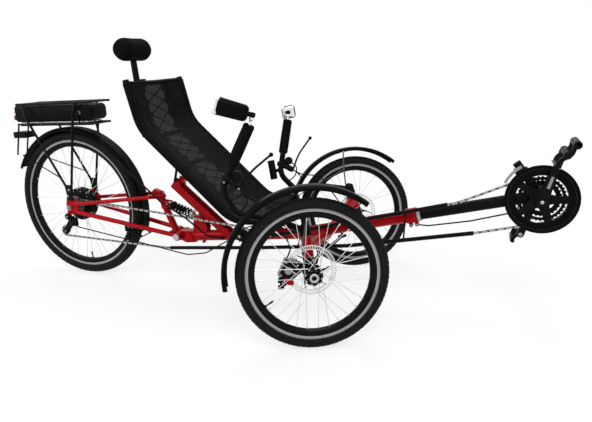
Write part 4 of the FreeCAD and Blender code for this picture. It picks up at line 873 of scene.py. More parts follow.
@dataclass
class FrontWheel(Wheel):
    """A front wheel with its hub and brake disc.

    Attributes:
        rotor: disc radius.
        rotor_at: disc's distance from the middle plane, inwards.
        nose: how far the hub's end stands out beyond its flange.
        hub_node: the hub that the pieces stand for.
    """

    rotor: float = 0.08
    rotor_at: float = -0.044
    nose: float = 0.02
    hub_node: str = ""

    def build(self) -> None:
        """Adds the hub and the disc to the plain wheel."""
        super().build()
        self._hub()
        self._disc()

    def _hub(self) -> None:
        """Black shell with drilled flanges, and a bright end cap with a dark core."""
        f, at, end = self.flange, self.flange_at, self.flange_at + self.nose
        shell = Bench.turn(
            [(0.0, self.rotor_at - 0.003), (0.017, self.rotor_at - 0.003), (0.018, self.rotor_at),
             (0.018, -at - 0.008), (f - 0.008, -at - 0.0025), (f - 0.001, -at - 0.002), (f, -at - 0.001),
             (f, -at + 0.001), (f - 0.001, -at + 0.002), (f - 0.009, -at + 0.003), (0.0175, -at + 0.01),
             (0.0165, 0.0), (0.0175, at - 0.01), (f - 0.009, at - 0.003), (f - 0.001, at - 0.002),
             (f, at - 0.001), (f, at + 0.001), (f - 0.001, at + 0.002), (f - 0.009, at + 0.0026),
             (0.0175, at + 0.0045), (0.0165, at + 0.008), (0.015, end - 0.004), (0.0146, end - 0.002),
             (0.0, end - 0.002)], 64)
        Bench.dress(shell, Shop.BLACK_LACQUER, 35)
        cap = Bench.turn([(0.0075, end - 0.006), (0.0142, end - 0.006), (0.0142, end - 0.0012),
                          (0.013, end - 0.0002), (0.0085, end - 0.0002), (0.0075, end - 0.001)], 48)
        Bench.dress(cap, Shop.ALUMINIUM, 30)
        core = Bench.turn([(0.0, end - 0.004), (0.004, end - 0.004), (0.0046, end - 0.0025),
                           (0.0075, end - 0.0025), (0.0075, end - 0.006), (0.0, end - 0.006)], 24)
        Bench.dress(core, Shop.SATIN_BLACK, 30)
        bosses = Bench.turn(
            [(0.0, at + 0.0018), (0.0018, at + 0.0018), (0.0012, at + 0.0036), (0.0, at + 0.004)], 8)
        Bench.shifted(bosses, (f - 0.0095, 0, 0))
        Bench.dress(bosses, Shop.STEEL)
        self._mount(Bench.joined([shell, cap, core, Bench.ring(bosses, 8)]), "hub_shell", "black_metal",
                    self.hub_node)

    def _disc(self) -> None:
        """Slotted brake disc on a black six-armed carrier."""
        z, half, r = self.rotor_at, 0.0011, self.rotor
        rings = [Bench.band(a, b, z - half, z + half, 96)
                 for a, b in ((r - 0.015, r - 0.0122), (r - 0.0032, r))]
        slant = [(-0.0126, -0.0022), (-0.0028, 0.0012), (-0.0028, 0.004), (-0.0126, 0.0006)]
        bar = Bench.prism([Vector((r + x, y, z)) for x, y in slant], (0, 0, half * 2))
        disc = Bench.dressed(rings + [Bench.ring(bar, 60)], Shop.SPOKE, 30)
        arm = []
        for a, b in ((18, 30), (30, 44), (44, 66)):
            corners = []
            for x, side in ((a, -1), (b, -1), (b, 1), (a, 1)):
                lean, wide = math.radians(x * 0.55), 0.006 - x * 0.00005
                corners.append(Vector((x * MM * math.cos(lean), x * MM * math.sin(lean) + side * wide, z)))
            arm.append(Bench.prism(corners, (0, 0, 0.002)))
        plate = Bench.band(0.0165, 0.024, z - 0.0014, z + 0.0014, 48)
        carrier = Bench.dressed([Bench.ring(Bench.joined(arm), 6), plate], Shop.ANODISED, 30)
        bolt = Bench.turn([(0.0, z - 0.0042), (0.003, z - 0.0042), (0.0034, z - 0.0034),
                           (0.0034, z - 0.001), (0.0, z - 0.001)], 12)
        Bench.dress(Bench.shifted(bolt, (0.0215, 0, 0)), Shop.STEEL)
        self._mount(Bench.joined([disc, carrier, Bench.ring(bolt, 6)]), "brake_disc", "steel")


@dataclass
class RearWheel(Wheel):
    """The driven wheel: hub motor with bolted covers and a cassette of toothed cogs."""

    def build(self) -> None:
        """Adds the motor and the cassette to the plain wheel."""
        super().build()
        self._motor()
        self._cassette()

    def _motor(self) -> None:
        """Motor shell with two bolted covers and short cooling ribs."""
        shell = Bench.turn_mm(
            [(6.2, -38), (26, -38), (30, -36), (40, -35.5), (52, -30), (66, -23.5), (70.5, -20),
             (70.5, -16.5), (66.5, -15.5), (66.5, -9.5), (70, -8.5), (70.5, -4), (66.8, -3), (66.8, 3),
             (70.5, 4), (70.5, 14.5), (66, 18), (48, 24), (34, 28.5), (30, 30), (24, 31.8), (6.2, 31.8)],
            96)
        Bench.dress(shell, Shop.SATIN_BLACK, 30)
        screw = Bench.turn_mm([(0, 16.5), (2.6, 16.5), (2.6, 20), (1.8, 20.8), (0, 20.8)], 10)
        Bench.shifted(screw, (0.061, 0, 0))
        Bench.dress(screw, Shop.STEEL)
        near = Bench.ring(screw, 10)
        other = Bench.turn_mm([(0, -29), (1.8, -29), (2.6, -28.2), (2.6, -24), (0, -24)], 10)
        Bench.shifted(other, (0.06, 0, 0))
        Bench.dress(other, Shop.STEEL)
        rib = Bench.block((0.018, 0.0022, 0.003), 0.0005, 1)
        Bench.moved(rib, Matrix.Translation((0.044, 0, 0.0252)) @ rotated(17, "Y"))
        Bench.dress(rib, Shop.SATIN_BLACK)
        self._mount(Bench.joined([shell, near, Bench.ring(other, 10), Bench.ring(rib, 20)]), "motor_shell",
                    "black_metal", "hub_motor")

    def _cassette(self) -> None:
        """Six cogs with teeth on a round body with a stepped end."""
        cogs = []
        for i, dia in enumerate((84, 74, 66, 58, 50, 44)):
            teeth = int(dia / 84 * 21)
            cogs.append(
                toothed(dia / 2 * MM, 0.0135 if i < 5 else 0.0125, teeth, 0.0324 + 0.004 * i, 0.0018,
                        0.0026))
        stack = Bench.dressed(cogs, Shop.CHAIN, 30)
        body = Bench.turn_mm([(6.2, 32.4), (16.5, 32.4), (16.5, 54.5), (15, 55.6), (10, 55.6), (6.2, 55)],
                             32)
        Bench.dress(body, Shop.SATIN_BLACK, 30)
        self._mount(Bench.joined([stack, body]), "cog_stack", "steel", "cassette")


def toothed(radius: float, bore: float, teeth: int, at: float, thick: float, tall: float) -> Piece:
    """A flat sprocket about Z.

    Args:
        radius: over the teeth.
        bore: radius of its opening.
        teeth: number of teeth.
        at: its lower face along Z.
        thick: its thickness.
        tall: height of a tooth.

    Returns:
        The sprocket.
    """
    web = Bench.band(bore, radius - tall, at, at + thick, teeth * 3)
    half = math.pi * radius / teeth
    flank = [(radius - tall - 0.0004, -half * 0.62), (radius - tall * 0.35, -half * 0.38),
             (radius, -half * 0.16)]
    tooth = Bench.prism([Vector((x, y, at + thick / 2)) for x, y in both_ways(flank)], (0, 0, thick * 0.86))
    return Bench.joined([web, Bench.ring(tooth, teeth)])


# ------------------------------------------------------------------ drive
@dataclass
class Crankset:
    """Chain guard, toothed rings, spider, arms and centre bolts, made about the crank axle.

    Attributes:
        centre: crank axle.
        line: middle chainring from the middle plane.
        pitch: between chainrings.
        guard: guard radius.
        long: crank length.
        angle: right crank ahead of the vertical.
        half: crank arm from the middle plane.
    """

    centre: Vector
    line: float = 0.046
    pitch: float = 0.008
    guard: float = 0.1075
    long: float = 0.165
    angle: float = 17.5
    half: float = 0.084

    def __post_init__(self) -> None:
        """Keeps the place of the wheel-like pieces, Z towards the rider's right."""
        self.place = frame_for(self.centre, RIGHT)

    def build(self) -> None:
        """Makes every piece of the crankset."""
        self._rings()
        self._arms()

    def _rings(self) -> None:
        """Three toothed rings, the dished guard with its studs and the spider."""
        parts = []
        for i, (dia, teeth, opening) in enumerate(((118, 28, 82), (144, 36, 119), (196, 48, 151))):
            z = self.line + (i - 1) * self.pitch - 0.0013
            ring = toothed(dia / 2 * MM, opening / 2 * MM, teeth, z, 0.0026, 0.0034)
            parts.append(Bench.dress(ring, Shop.SATIN_BLACK, 30))
        parts.append(self._guard())
        reach = self.guard - 0.0155
        for i in range(5):
            parts.append(self._spider_arm(math.radians(72 * i + 90 - self.angle), reach))
        boss = Bench.turn([(0.015, self.line - 0.008), (0.029, self.line - 0.008),
                           (0.03, self.line + 0.006), (0.0235, self.line + 0.0125),
                           (0.018, self.line + 0.018), (0.015, self.line + 0.018)], 48)
        parts.append(Bench.dress(boss, Shop.SATIN_BLACK, 30))
        whole = Bench.moved(Bench.joined(parts), self.place)
        FITTER.mount(whole, "chainring_set", "cranks", ["chainrings"])

    def _guard(self) -> Piece:
        """Dished guard: a rolled rim, a closed band and a ring of small studs.

        Returns:
            The guard about Z.
        """
        z, r = self.line + self.pitch + 0.0052, self.guard
        rim = Bench.turn([(r - 0.008, z - 0.001), (r - 0.003, z - 0.0014), (r - 0.0004, z - 0.0014),
                          (r, z - 0.0006), (r, z + 0.0012), (r - 0.001, z + 0.0022),
                          (r - 0.0035, z + 0.0022), (r - 0.008, z + 0.0004)], 120)
        band = Bench.turn([(r - 0.031, z - 0.0022), (r - 0.018, z - 0.0016), (r - 0.0075, z - 0.0012),
                           (r - 0.0075, z + 0.0004), (r - 0.018, z + 0.0002), (r - 0.019, z + 0.001),
                           (r - 0.0205, z + 0.0008), (r - 0.031, z - 0.0006)], 120)
        stud = Bench.rod((r - 0.0115, 0, z - 0.0006), (r - 0.0115, 0, z + 0.0013), 0.001, sides=6)
        studs = Bench.dress(Bench.ring(stud, 72), Shop.GREY)
        return Bench.joined([Bench.dressed([rim, band], Shop.GLOSS, 35), studs])

    def _spider_arm(self, at: float, reach: float) -> Piece:
        """One arm of the spider with its ring bolt.

        Args:
            at: its direction.
            reach: radius of its tip.

        Returns:
            The arm about Z.
        """
        z = self.line + 0.0085
        edge = [(0.014, -0.019), (0.03, -0.015), (0.048, -0.0125), (reach - 0.006, -0.0105),
                (reach, -0.007)]
        arm = Bench.prism([Vector((a, b, z)) for a, b in both_ways(edge)], (0, 0, 0.0075), 0.0022)
        Bench.dress(arm, Shop.SATIN_BLACK, 35)
        stud = Bench.turn([(0.0, z - 0.014), (0.005, z - 0.014), (0.005, z + 0.0042), (0.0042, z + 0.0052),
                           (0.0022, z + 0.0052), (0.0022, z + 0.0036), (0.0, z + 0.0036)], 20)
        Bench.shifted(stud, (0.06, 0, 0))
        Bench.dress(stud, Shop.ANODISED)
        return Bench.moved(Bench.joined([arm, stud]), Matrix.Rotation(at, 4, "Z"))

    def _arms(self) -> None:
        """Tapered forged crank arms on their spindle, with bright centre bolts."""
        turn, spindle = math.radians(self.angle), Vector((0, self.half - 0.006, 0))
        parts = [Bench.dress(Bench.rod(self.centre - spindle, self.centre + spindle, 0.0119, sides=32),
                             Shop.STEEL)]
        outline = [(-0.0165, 0.0075), (-0.011, 0.0145), (0.0, 0.0172), (0.018, 0.0158), (0.06, 0.0118),
                   (self.long - 0.03, 0.011), (self.long - 0.006, 0.0126), (self.long + 0.006, 0.0112),
                   (self.long + 0.012, 0.0048)]
        for side in SIDES:
            way = Vector((math.sin(turn), 0, math.cos(turn))) * -side
            across, out = Vector((way.z, 0, -way.x)), Vector((0, side, 0))
            hub = self.centre + out * self.half
            arm = Bench.prism([hub + way * a + across * h for a, h in both_ways(outline)], out * 0.013,
                              0.003)
            slot = both_ways([(0.044, 0.0044), (0.082, 0.004)])
            groove = Bench.prism([hub + out * 0.0062 + way * a + across * h for a, h in slot], out * 0.0012)
            collar = Bench.turn_mm([(5, -3), (11, -3), (11, 2), (10, 3), (5, 3)], 32)
            bolt = Bench.turn_mm([(0, -3), (5.2, -3), (5.2, 3.4), (4, 4.2), (0, 4.2)], 24)
            for part in (collar, bolt):
                Bench.stood(part, hub + out * 0.0072, out)
            parts += [Bench.dress(arm, Shop.ANODISED, 30), Bench.dress(groove, Shop.CALIPER),
                      Bench.dress(collar, Shop.ANODISED, 30), Bench.dress(bolt, Shop.ALUMINIUM, 30)]
        FITTER.mount(Bench.joined(parts), "crank_arm_pair", "cranks", ["crank_arms"])


@dataclass
class Pedal:
    """Platform pedal with wavy gripping edges, a domed core and pins.

    Attributes:
        name: side.
        eye: pedal axle at the crank.
        side: -1 right, 1 left.
        tilt: platform tilt in degrees.
    """

    name: str
    eye: Vector
    side: int
    tilt: float = 52.0

    def build(self) -> None:
        """Makes the pedal and mounts it."""
        wide, long, thick = 0.092, 0.096, 0.024
        cage = []
        for x in (-1, 1):
            edge = []
            steps = 16
            for i in range(steps + 1):
                y = -wide / 2 + wide * i / steps
                edge.append(Vector((x * (long / 2 - 0.003 - (0.003 if i % 2 else 0.0)), y, 0)))
            inner = [Vector((x * (long / 2 - 0.013), y, 0)) for y in (wide / 2, -wide / 2)]
            cage.append(Bench.prism(edge + inner, (0, 0, thick * 0.55), 0.0012))
        tip = Vector((long / 2 - 0.0115, wide / 2, 0))
        cage.append(Bench.rod((tip.x, -tip.y, 0), tip, 0.0112, sides=24))
        wave = [(long * 0.86 * (i / 16 - 0.5), 0.0046 * math.sin(math.tau * 1.25 * i / 16))
                for i in range(17)]
        outline = [Vector((x, 0, z + 0.0062))
                   for x, z in wave] + [Vector((x, 0, z - 0.0062)) for x, z in reversed(wave)]
        for y in (-1, 1):
            cage.append(
                Bench.shifted(Bench.prism(outline, (0, 0.01, 0), 0.0014), (0, y * (wide / 2 - 0.0055), 0)))
        core = Bench.turn([(0.0, -wide / 2), (0.011, -wide / 2), (0.012, -wide / 2 + 0.004), (0.0098, 0.0),
                           (0.011, wide / 2 - 0.004), (0.01, wide / 2), (0.0, wide / 2)], 24)
        Bench.moved(core, rotated(90, "X"))
        cage.append(core)
        for y in (-0.018, 0.018):
            cage.append(Bench.shifted(Bench.block((long - 0.02, 0.005, 0.012), 0.0015), (0, y, 0)))
        body = Bench.dressed(cage, Shop.PLASTIC, 35)
        pins = [Bench.rod((x * 0.041, y, -0.013), (x * 0.041, y, 0.013), 0.0012, sides=6) for x in (-1, 1)
                for y in (-0.03, -0.01, 0.01, 0.03)]
        pins = Bench.dressed(pins, Shop.STEEL)
        pedal = Bench.joined([body, pins])
        out = Vector((0, self.side, 0))
        middle = self.eye + out * (0.014 + wide / 2)
        Bench.moved(pedal, Matrix.Translation(middle) @ rotated(-self.tilt, "Y"))
        shaft = Bench.rod(self.eye - out * 0.0066, self.eye + out * 0.018, 0.0069, sides=24)
        pedal = Bench.joined([pedal, Bench.dress(shaft, Shop.STEEL)])
        FITTER.mount(pedal, f"pedal_platform_{self.name}", f"pedal_{self.name}_body",
                     [f"pedal_{self.name}"])


@dataclass
class Chain:
    """Roller chain laid along the wheels that it passes.

    Attributes:
        wheels: (x, z, radius) in metres in running order; a negative radius turns the run the other way.
        y: the chain's plane.
        pitch: distance between pins.
    """

    wheels: Sequence[tuple[float, float, float]]
    y: float = -0.046
    pitch: float = 0.0127

    def path(self) -> list[tuple[Vector, Vector]]:
        """Evenly spaced points of the loop.

        Returns:
            Pin centres with the direction of the chain there.
        """
        spans = []
        count = len(self.wheels)
        for i, (x, z, r) in enumerate(self.wheels):
            x2, z2, r2 = self.wheels[(i + 1) % count]
            gap = Vector((x2 - x, 0, z2 - z))
            angle = math.atan2(gap.z, gap.x) - math.atan2(
                r2 - r, math.sqrt(gap.length_squared - (r2 - r) ** 2))
            normal = Vector((-math.sin(angle), 0, math.cos(angle)))
            spans.append((Vector((x, self.y, z)) - normal * r, Vector((x2, self.y, z2)) - normal * r2))
        line: list[Vector] = []
        for i, (x, z, r) in enumerate(self.wheels):
            centre = Vector((x, self.y, z))
            a, b = spans[i - 1][1] - centre, spans[i][0] - centre
            start, turn = math.atan2(a.z, a.x), math.atan2(b.z, b.x) - math.atan2(a.z, a.x)
            turn = turn % math.tau if r > 0 else -((-turn) % math.tau)
            if abs(turn) > math.tau - 0.05:
                turn = 0.0
            steps = max(2, int(abs(turn * r) / 0.002))
            for k in range(steps + 1):
                at = start + turn * k / steps
                line.append(centre + Vector((math.cos(at), 0, math.sin(at))) * abs(r))
        line.append(line[0].copy())
        return self._spaced(line)

    def _spaced(self, line: Sequence[Vector]) -> list[tuple[Vector, Vector]]:
        """Points at equal distances along a closed line.

        Args:
            line: dense points, the last the same as the first.

        Returns:
            Points and directions.
        """
        runs = [(b - a).length for a, b in zip(line, line[1:])]
        total = sum(runs)
        count = round(total / self.pitch / 2) * 2
        step, spot, made, done = total / count, 0.0, [], 0.0
        for a, b, run in zip(line, line[1:], runs):
            while spot <= done + run + 1e-9 and len(made) < count and run > 1e-9:
                made.append((a.lerp(b, (spot - done) / run), (b - a).normalized()))
                spot += step
            done += run
        return made

    def build(self) -> None:
        """Makes the links, in pairs of inner and outer plates, and the rollers."""
        pins = self.path()
        outline = []
        r, waist, half = 0.0039, 0.0029, self.pitch / 2
        for x, z in ((-half - r, 0), (-half - r * 0.7, r * 0.75), (-half, r), (0, waist), (half, r),
                     (half + r * 0.7, r * 0.75), (half + r, 0)):
            outline.append(Vector((x, 0, z)))
        outline += [Vector((p.x, 0, -p.z)) for p in outline[-2:0:-1]]
        plate = Bench.prism(outline, (0, 0.001, 0))
        places: tuple[list[Matrix], list[Matrix]] = ([], [])
        for i, (a, _) in enumerate(pins):
            b = pins[(i + 1) % len(pins)][0]
            lay = facing(b - a, "X", "Z")
            for side in SIDES:
                off = Vector((0, side * (0.0027 if i % 2 else 0.0017), 0))
                places[i % 2].append(Matrix.Translation((a + b) / 2 + off) @ lay)
        spare = Bench.prism(outline, (0, 0.001, 0))
        inner = Bench.dress(Bench.copies(spare, places[0]), Shop.CHAIN_INNER, 30)
        outer = Bench.dress(Bench.copies(plate, places[1]), Shop.CHAIN, 30)
        pin = Bench.rod((0, -0.0034, 0), (0, 0.0034, 0), 0.0019, sides=8)
        rollers = Bench.copies(pin, [Matrix.Translation(at) for at, _ in pins])
        FITTER.mount(Bench.joined([inner, outer, Bench.dress(rollers, Shop.CHAIN, 30)]), "chain_links",
                     "frame", ["chain"])


@dataclass
class Shock:
    """Coil-over shock: damper, spring, collars and eyes.

    Attributes:
        rear: rear eye.
        front: front eye.
        coils: turns of the spring.
    """

    rear: Vector
    front: Vector
    coils: int = 6

    def build(self) -> None:
        """Makes the shock along its own axis and lays it between its eyes."""
        long = (self.front - self.rear).length
        first, last = 0.024, long - 0.037
        wire = []
        steps = self.coils * 20
        for i in range(steps + 1):
            share = i / steps
            at = math.tau * self.coils * share
            flat_end = min(share, 1 - share) * 10
            radius = 0.0163 - 0.0006 * max(0.0, 1 - flat_end)
            wire.append(
                Vector((radius * math.cos(at), radius * math.sin(at),
                        first + 0.003 + (last - first - 0.006) * share)))
        spring = Bench.dress(Bench.tube(wire, 0.0032, 3), Shop.BLACK_LACQUER)
        body = Bench.dress(
            Bench.turn([(0.0, 0.004), (0.0078, 0.004), (0.0078, first - 0.006), (0.0192, first - 0.005),
                        (0.0198, first - 0.003), (0.0198, first), (0.011, first + 0.001),
                        (0.011, first + 0.052), (0.0, first + 0.052)], 40), Shop.SATIN_BLACK, 30)
        piston = Bench.dress(
            Bench.turn([(0.0, first + 0.05), (0.0055, first + 0.05), (0.0055, last), (0.0, last)], 24),
            Shop.CHROME, 30)
        seat = Bench.dress(
            Bench.turn([(0.0, last - 0.001), (0.0195, last - 0.001), (0.02, last + 0.001),
                        (0.0195, last + 0.005), (0.012, last + 0.006), (0.01, last + 0.01),
                        (0.0075, last + 0.012), (0.0075, long - 0.004), (0.0, long - 0.004)], 40),
            Shop.ALUMINIUM, 30)
        whole = Bench.joined([spring, body, piston, seat])
        lay = facing(self.front - self.rear, "Z", "Y")
        Bench.moved(whole, Matrix.Translation(self.rear) @ lay)
        ends = []
        for eye in (self.rear, self.front):
            ends.append(
                Bench.stood(Bench.turn_mm(both_ways([(4.5, -10.4), (8.8, -10.4), (9.2, -9.6)]), 32), eye,
                            ACROSS))
            ends.append(Bench.stood(Bench.turn_mm(both_ways([(0, -19.5), (4, -19.5)]), 24), eye, ACROSS))
        FITTER.mount(Bench.joined([whole, Bench.dressed(ends, Shop.ALUMINIUM, 30)]), "coil_shock", "frame",
                     ["shock"])


# ------------------------------------------------------------------ seat
@dataclass
class Sling:
    """Mesh seat: the stretched front, sewn double sides round the rails, and the lacing behind.

    Attributes:
        line: rail points in the side view.
        radii: radius of each bend.
        half: half distance between the rails.
        rail: rail radius.
        hollow: depth of the seat's hollow between the rails.
        flap: width of the double sides behind.
        margin: bare length of rail at each end.
        scallop: how far the flaps' edges draw back between the laces.
        stops: how many laces' hooks there are along each flap.
        lift: from the rail's skin to the middle of the cloth.
        lace_from: share of the length where the lacing starts.
        lace_over: share of the length that it covers.
    """

    line: Sequence[tuple[float, float]]
    radii: Sequence[float] = (0.15, 0.12)
    half: float = 0.174
    rail: float = 0.012
    hollow: float = 0.016
    flap: float = 0.128
    margin: float = 0.012
    scallop: float = 0.022
    stops: int = 15
    lift: float = 0.0016
    lace_from: float = 0.03
    lace_over: float = 0.94

    def rail_path(self) -> list[tuple[Vector, Vector]]:
        """Points along the rail with the cloth side's direction.

        Returns:
            (point, normal) pairs from the top of the back to the front of the pan.
        """
        points = [Vector((x, 0, z)) for x, z in self.line]
        dense = [points[0]]
        for before, corner, after, radius in zip(points, points[1:], points[2:], self.radii):
            back, ahead = (before - corner).normalized(), (after - corner).normalized()
            half = back.angle(ahead) / 2
            reach = radius / math.tan(half)
            centre = corner + (back + ahead).normalized() * (radius / math.sin(half))
            a, b = corner + back * reach - centre, corner + ahead * reach - centre
            for i in range(13):
                dense.append(centre + a.slerp(b, i / 12) * radius)
        dense.append(points[-1])
        return self._even(dense)

    def _even(self, dense: Sequence[Vector]) -> list[tuple[Vector, Vector]]:
        """Evenly spaced points of a line.

        Args:
            dense: its points.

        Returns:
            (point, normal) pairs.
        """
        runs = [(b - a).length for a, b in zip(dense, dense[1:])]
        total, made = sum(runs) - 2 * self.margin, []
        count = int(total / 0.008)
        for i in range(count + 1):
            want, done = self.margin + total * i / count, 0.0
            for a, b, run in zip(dense, dense[1:], runs):
                if want <= done + run + 1e-9:
                    break
                done += run
            way = (b - a).normalized()
            made.append((a.lerp(b, (want - done) / run), Vector((-way.z, 0, way.x)) * -1))
        for i, (at, normal) in enumerate(made):
            if normal.z < 0:
                made[i] = (at, -normal)
        return made

    def _section(self) -> list[tuple[float, float]]:
        """The cloth's cross section from the left flap round both rails to the right flap.

        Returns:
            (across, above the rail's middle) pairs.
        """
        r, half = self.rail + self.lift, self.half
        points = []
        for i in range(8):
            y = half - self.flap + (self.flap - 0.002) * i / 7
            points.append((y, -r - 0.0005 - 0.003 * (1 - i / 7)))
        for i in range(1, 12):
            at = math.radians(-90 + 180 * i / 12)
            points.append((half + r * math.cos(at), r * math.sin(at)))
        across = 44
        for i in range(across + 1):
            share = i / across * 2 - 1
            points.append((-share * half, r - self.hollow * (1 - abs(share) ** 2.4)))
        return points + [(-y, z) for y, z in points[:19]][::-1]

    def build(self) -> None:
        """Makes the cloth, its hems and the lacing."""
        section, path = self._section(), self.rail_path()
        girth = [0.0]
        for a, b in zip(section, section[1:]):
            girth.append(girth[-1] + math.dist(a, b))
        wide, long = girth[-1], sum((b[0] - a[0]).length for a, b in zip(path, path[1:]))
        cloth = Bench.fresh(bpy.ops.mesh.primitive_grid_add, x_subdivisions=len(section) - 1,
                            y_subdivisions=len(path) - 1, size=1.0, calc_uvs=True)
        uv = cloth.data.uv_layers.active.data
        columns = len(section)
        for vertex in cloth.data.vertices:
            i, j = vertex.index % columns, vertex.index // columns
            at, normal = path[j]
            along = j / (len(path) - 1)
            y, up = section[i]
            if up < -self.rail:
                edge, free = self._edge(along), self.half - self.flap
                y = math.copysign(edge + (abs(y) - free) * (self.half - edge) / self.flap, y)
            vertex.co = at + normal * self._height(y, up, along) + Vector((0, y, 0))
        for loop in cloth.data.loops:
            i, j = loop.vertex_index % columns, loop.vertex_index // columns
            uv[loop.index].uv = (girth[i], long * j / (len(path) - 1))
        cloth.data.materials.append(Shop.MESH_CLOTH.material())
        Bench.modify(cloth, "SOLIDIFY", thickness=0.0014, offset=0.0)
        Bench.smooth(cloth, 50)
        FITTER.mount(cloth, "seat_mesh", "frame", ["seat_sling"])
        hems = self._hems(path)
        FITTER.mount(hems, "seat_hems", "frame")
        lace = self._lacing(path)
        FITTER.mount(lace, "seat_lacing", "frame")

    def _height(self, y: float, up: float, along: float) -> float:
        """Height of the cloth over the rails' plane: tight at both ends, hollow between.

        Args:
            y: across.
            up: height in the plain section.
            along: share of the length from the top.

        Returns:
            The height.
        """
        if up <= 0.0 or abs(y) > self.half - 0.002:
            return up
        ease = math.sin(math.pi * min(max(along, 0.0), 1.0)) ** 0.5
        reach = abs(abs(y) - (self.half - self.flap)) / 0.03
        pull = 0.0008 * math.sin(along * 34 * math.pi) * max(0.0, 1 - reach)
        top = self.rail + self.lift
        return top - (top - up) * (0.45 + 0.55 * ease) + pull

    def _edge(self, along: float) -> float:
        """Distance of the flaps' scalloped edges from the middle, nearest at each hook.

        Args:
            along: share of the length from the top.

        Returns:
            The distance.
        """
        turn = (along - self.lace_from) / self.lace_over * (self.stops - 1)
        return self.half - self.flap + self.scallop * abs(math.sin(math.pi * turn)) ** 0.8

    def _hems(self, path: Path) -> Piece:
        """Webbing along the flaps' edges and across both ends, with thin lines along the top near the
        rails.

        Args:
            path: points along the rail.

        Returns:
            The hems.
        """
        parts = []
        r = self.rail + self.lift
        for side in SIDES:
            line = [at - normal * (r + 0.004) + Vector((0, side * self._edge(j / (len(path) - 1)), 0))
                    for j, (at, normal) in enumerate(path)]
            parts.append(Bench.tube(line, 0.0022, 1))
            line = [at + normal * (r + 0.0004) + Vector((0, side * (self.half - 0.01), 0))
                    for at, normal in path[::4]]
            parts.append(Bench.tube(line, 0.0011, 1))
        for j in (0, len(path) - 1):
            at, normal = path[j]
            share = [i / 12 * 2 - 1 for i in range(13)]
            line = [
                at + normal * self._height(
                s * self.half, r - self.hollow * (1 - abs(s) ** 2.4), j / (len(path) - 1))
                + Vector((0, s * self.half * 0.97, 0)) for s in share]
            parts.append(Bench.tube(line, 0.003, 2))
        return Bench.dressed(parts, Shop.WEBBING)

    def _lacing(self, path: Path) -> Piece:
        """Cord that crosses between the flaps, and its eyelets.

        Args:
            path: points along the rail.

        Returns:
            The lacing.
        """
        below = self.rail + 0.009
        hooks, cords = {}, []
        for i in range(self.stops):
            at, normal = path[
                round((len(path) - 1) * (self.lace_from + self.lace_over * i / (self.stops - 1)))]
            for side in SIDES:
                out = Vector((0, side * (self.half - self.flap + 0.006), 0))
                hooks[i, side] = at - normal * below + out
        for i in range(self.stops - 1):
            for side in SIDES:
                a, b = hooks[i, side], hooks[i + 1, -side]
                sag = (path[0][1] * -0.0022) * side
                cords.append(Bench.tube([a, a.lerp(b, 0.5) + sag, b], 0.0022, 2))
        rings = []
        for spot in hooks.values():
            ring = Bench.fresh(bpy.ops.mesh.primitive_torus_add, major_radius=0.0042, minor_radius=0.0013,
                               major_segments=12, minor_segments=6)
            rings.append(Bench.shifted(ring, spot))
        cord = Bench.dressed(cords, Shop.CABLE)
        return Bench.joined([cord, Bench.dressed(rings, Shop.STEEL)])


@dataclass
class Headrest:
    """Stuffed roll with rounded ends, piped end panels and the sleeve of its post.

    Attributes:
        centre: middle of the roll.
        radius: roll radius.
        half: half length.
    """

    centre: Vector
    radius: float = 0.046
    half: float = 0.085

    def build(self) -> None:
        """Stuffs the roll, then sews its piping."""
        slim = 0.0028
        r, h = self.radius - slim, self.half - slim
        end = [(0.0, h), (r * 0.42, h - 0.0008), (r * 0.66, h - 0.005), (r * 0.86, h - 0.013),
               (r * 0.97, h - 0.024), (r, h - 0.034)]
        roll = Bench.turn([(a, -b) for a, b in end] + [(r * 0.965, 0.0)] + end[::-1], 64)
        Bench.stood(roll, self.centre, ACROSS)
        Bench.modify(roll, "REMESH", mode="VOXEL", voxel_size=0.005)
        self._stuff(roll)
        Bench.modify(roll, "SUBSURF", levels=1, render_levels=1)
        Bench.dress(roll, Shop.PAD_CLOTH, 180)
        FITTER.mount(roll, "headrest_roll", "frame", ["headrest_pad"])
        rings = []
        for side in SIDES:
            for at, wide in ((self.half - 0.0085, 0.66), (self.half - 0.004, 0.4)):
                ring = Bench.fresh(bpy.ops.mesh.primitive_torus_add, major_radius=self.radius * wide,
                                   minor_radius=0.0016, major_segments=64, minor_segments=8)
                rings.append(Bench.stood(ring, self.centre + Vector((0, side * at, 0)), (0, side, 0)))
        FITTER.mount(Bench.dressed(rings, Shop.WEBBING), "headrest_piping", "frame")
        foot, head = self.centre + Vector((0.0045, 0, -0.178)), self.centre + Vector((-0.004, 0, -0.02))
        sleeve = Bench.rod(foot, head, 0.0122, sides=32)
        FITTER.mount(Bench.dress(sleeve, Shop.SATIN_BLACK), "headrest_sleeve", "frame")

    def _stuff(self, roll: Piece) -> None:
        """Blows the roll up a little as cloth under pressure and keeps the result.

        Args:
            roll: the remeshed roll.
        """
        rest = [vertex.co.copy() for vertex in roll.data.vertices]
        Bench.pick(roll)
        cloth = roll.modifiers.new("cloth", "CLOTH")
        cloth.settings.use_pressure = True
        cloth.settings.uniform_pressure_force = 4.0
        cloth.settings.effector_weights.gravity = 0.0
        for step in range(1, 21):
            bpy.context.scene.frame_set(step)
        bpy.ops.object.modifier_apply(modifier=cloth.name)
        bpy.context.scene.frame_set(1)
        cap = 0.0025
        for vertex, before in zip(roll.data.vertices, rest):
            move = vertex.co - before
            if move.length > cap:
                vertex.co = before + move.normalized() * cap


# ------------------------------------------------------------------ front corners
@dataclass(frozen=True)
class MirrorStand:
    """How a mirror's head stands, in millimetres with the steering straight.

    Attributes:
        start: where the head starts.
        way: from there to its far end.
        glass_on_end: True where the far end holds the glass, False where a long side does.
    """

    start: tuple[float, float, float]
    way: tuple[float, float, float]
    glass_on_end: bool


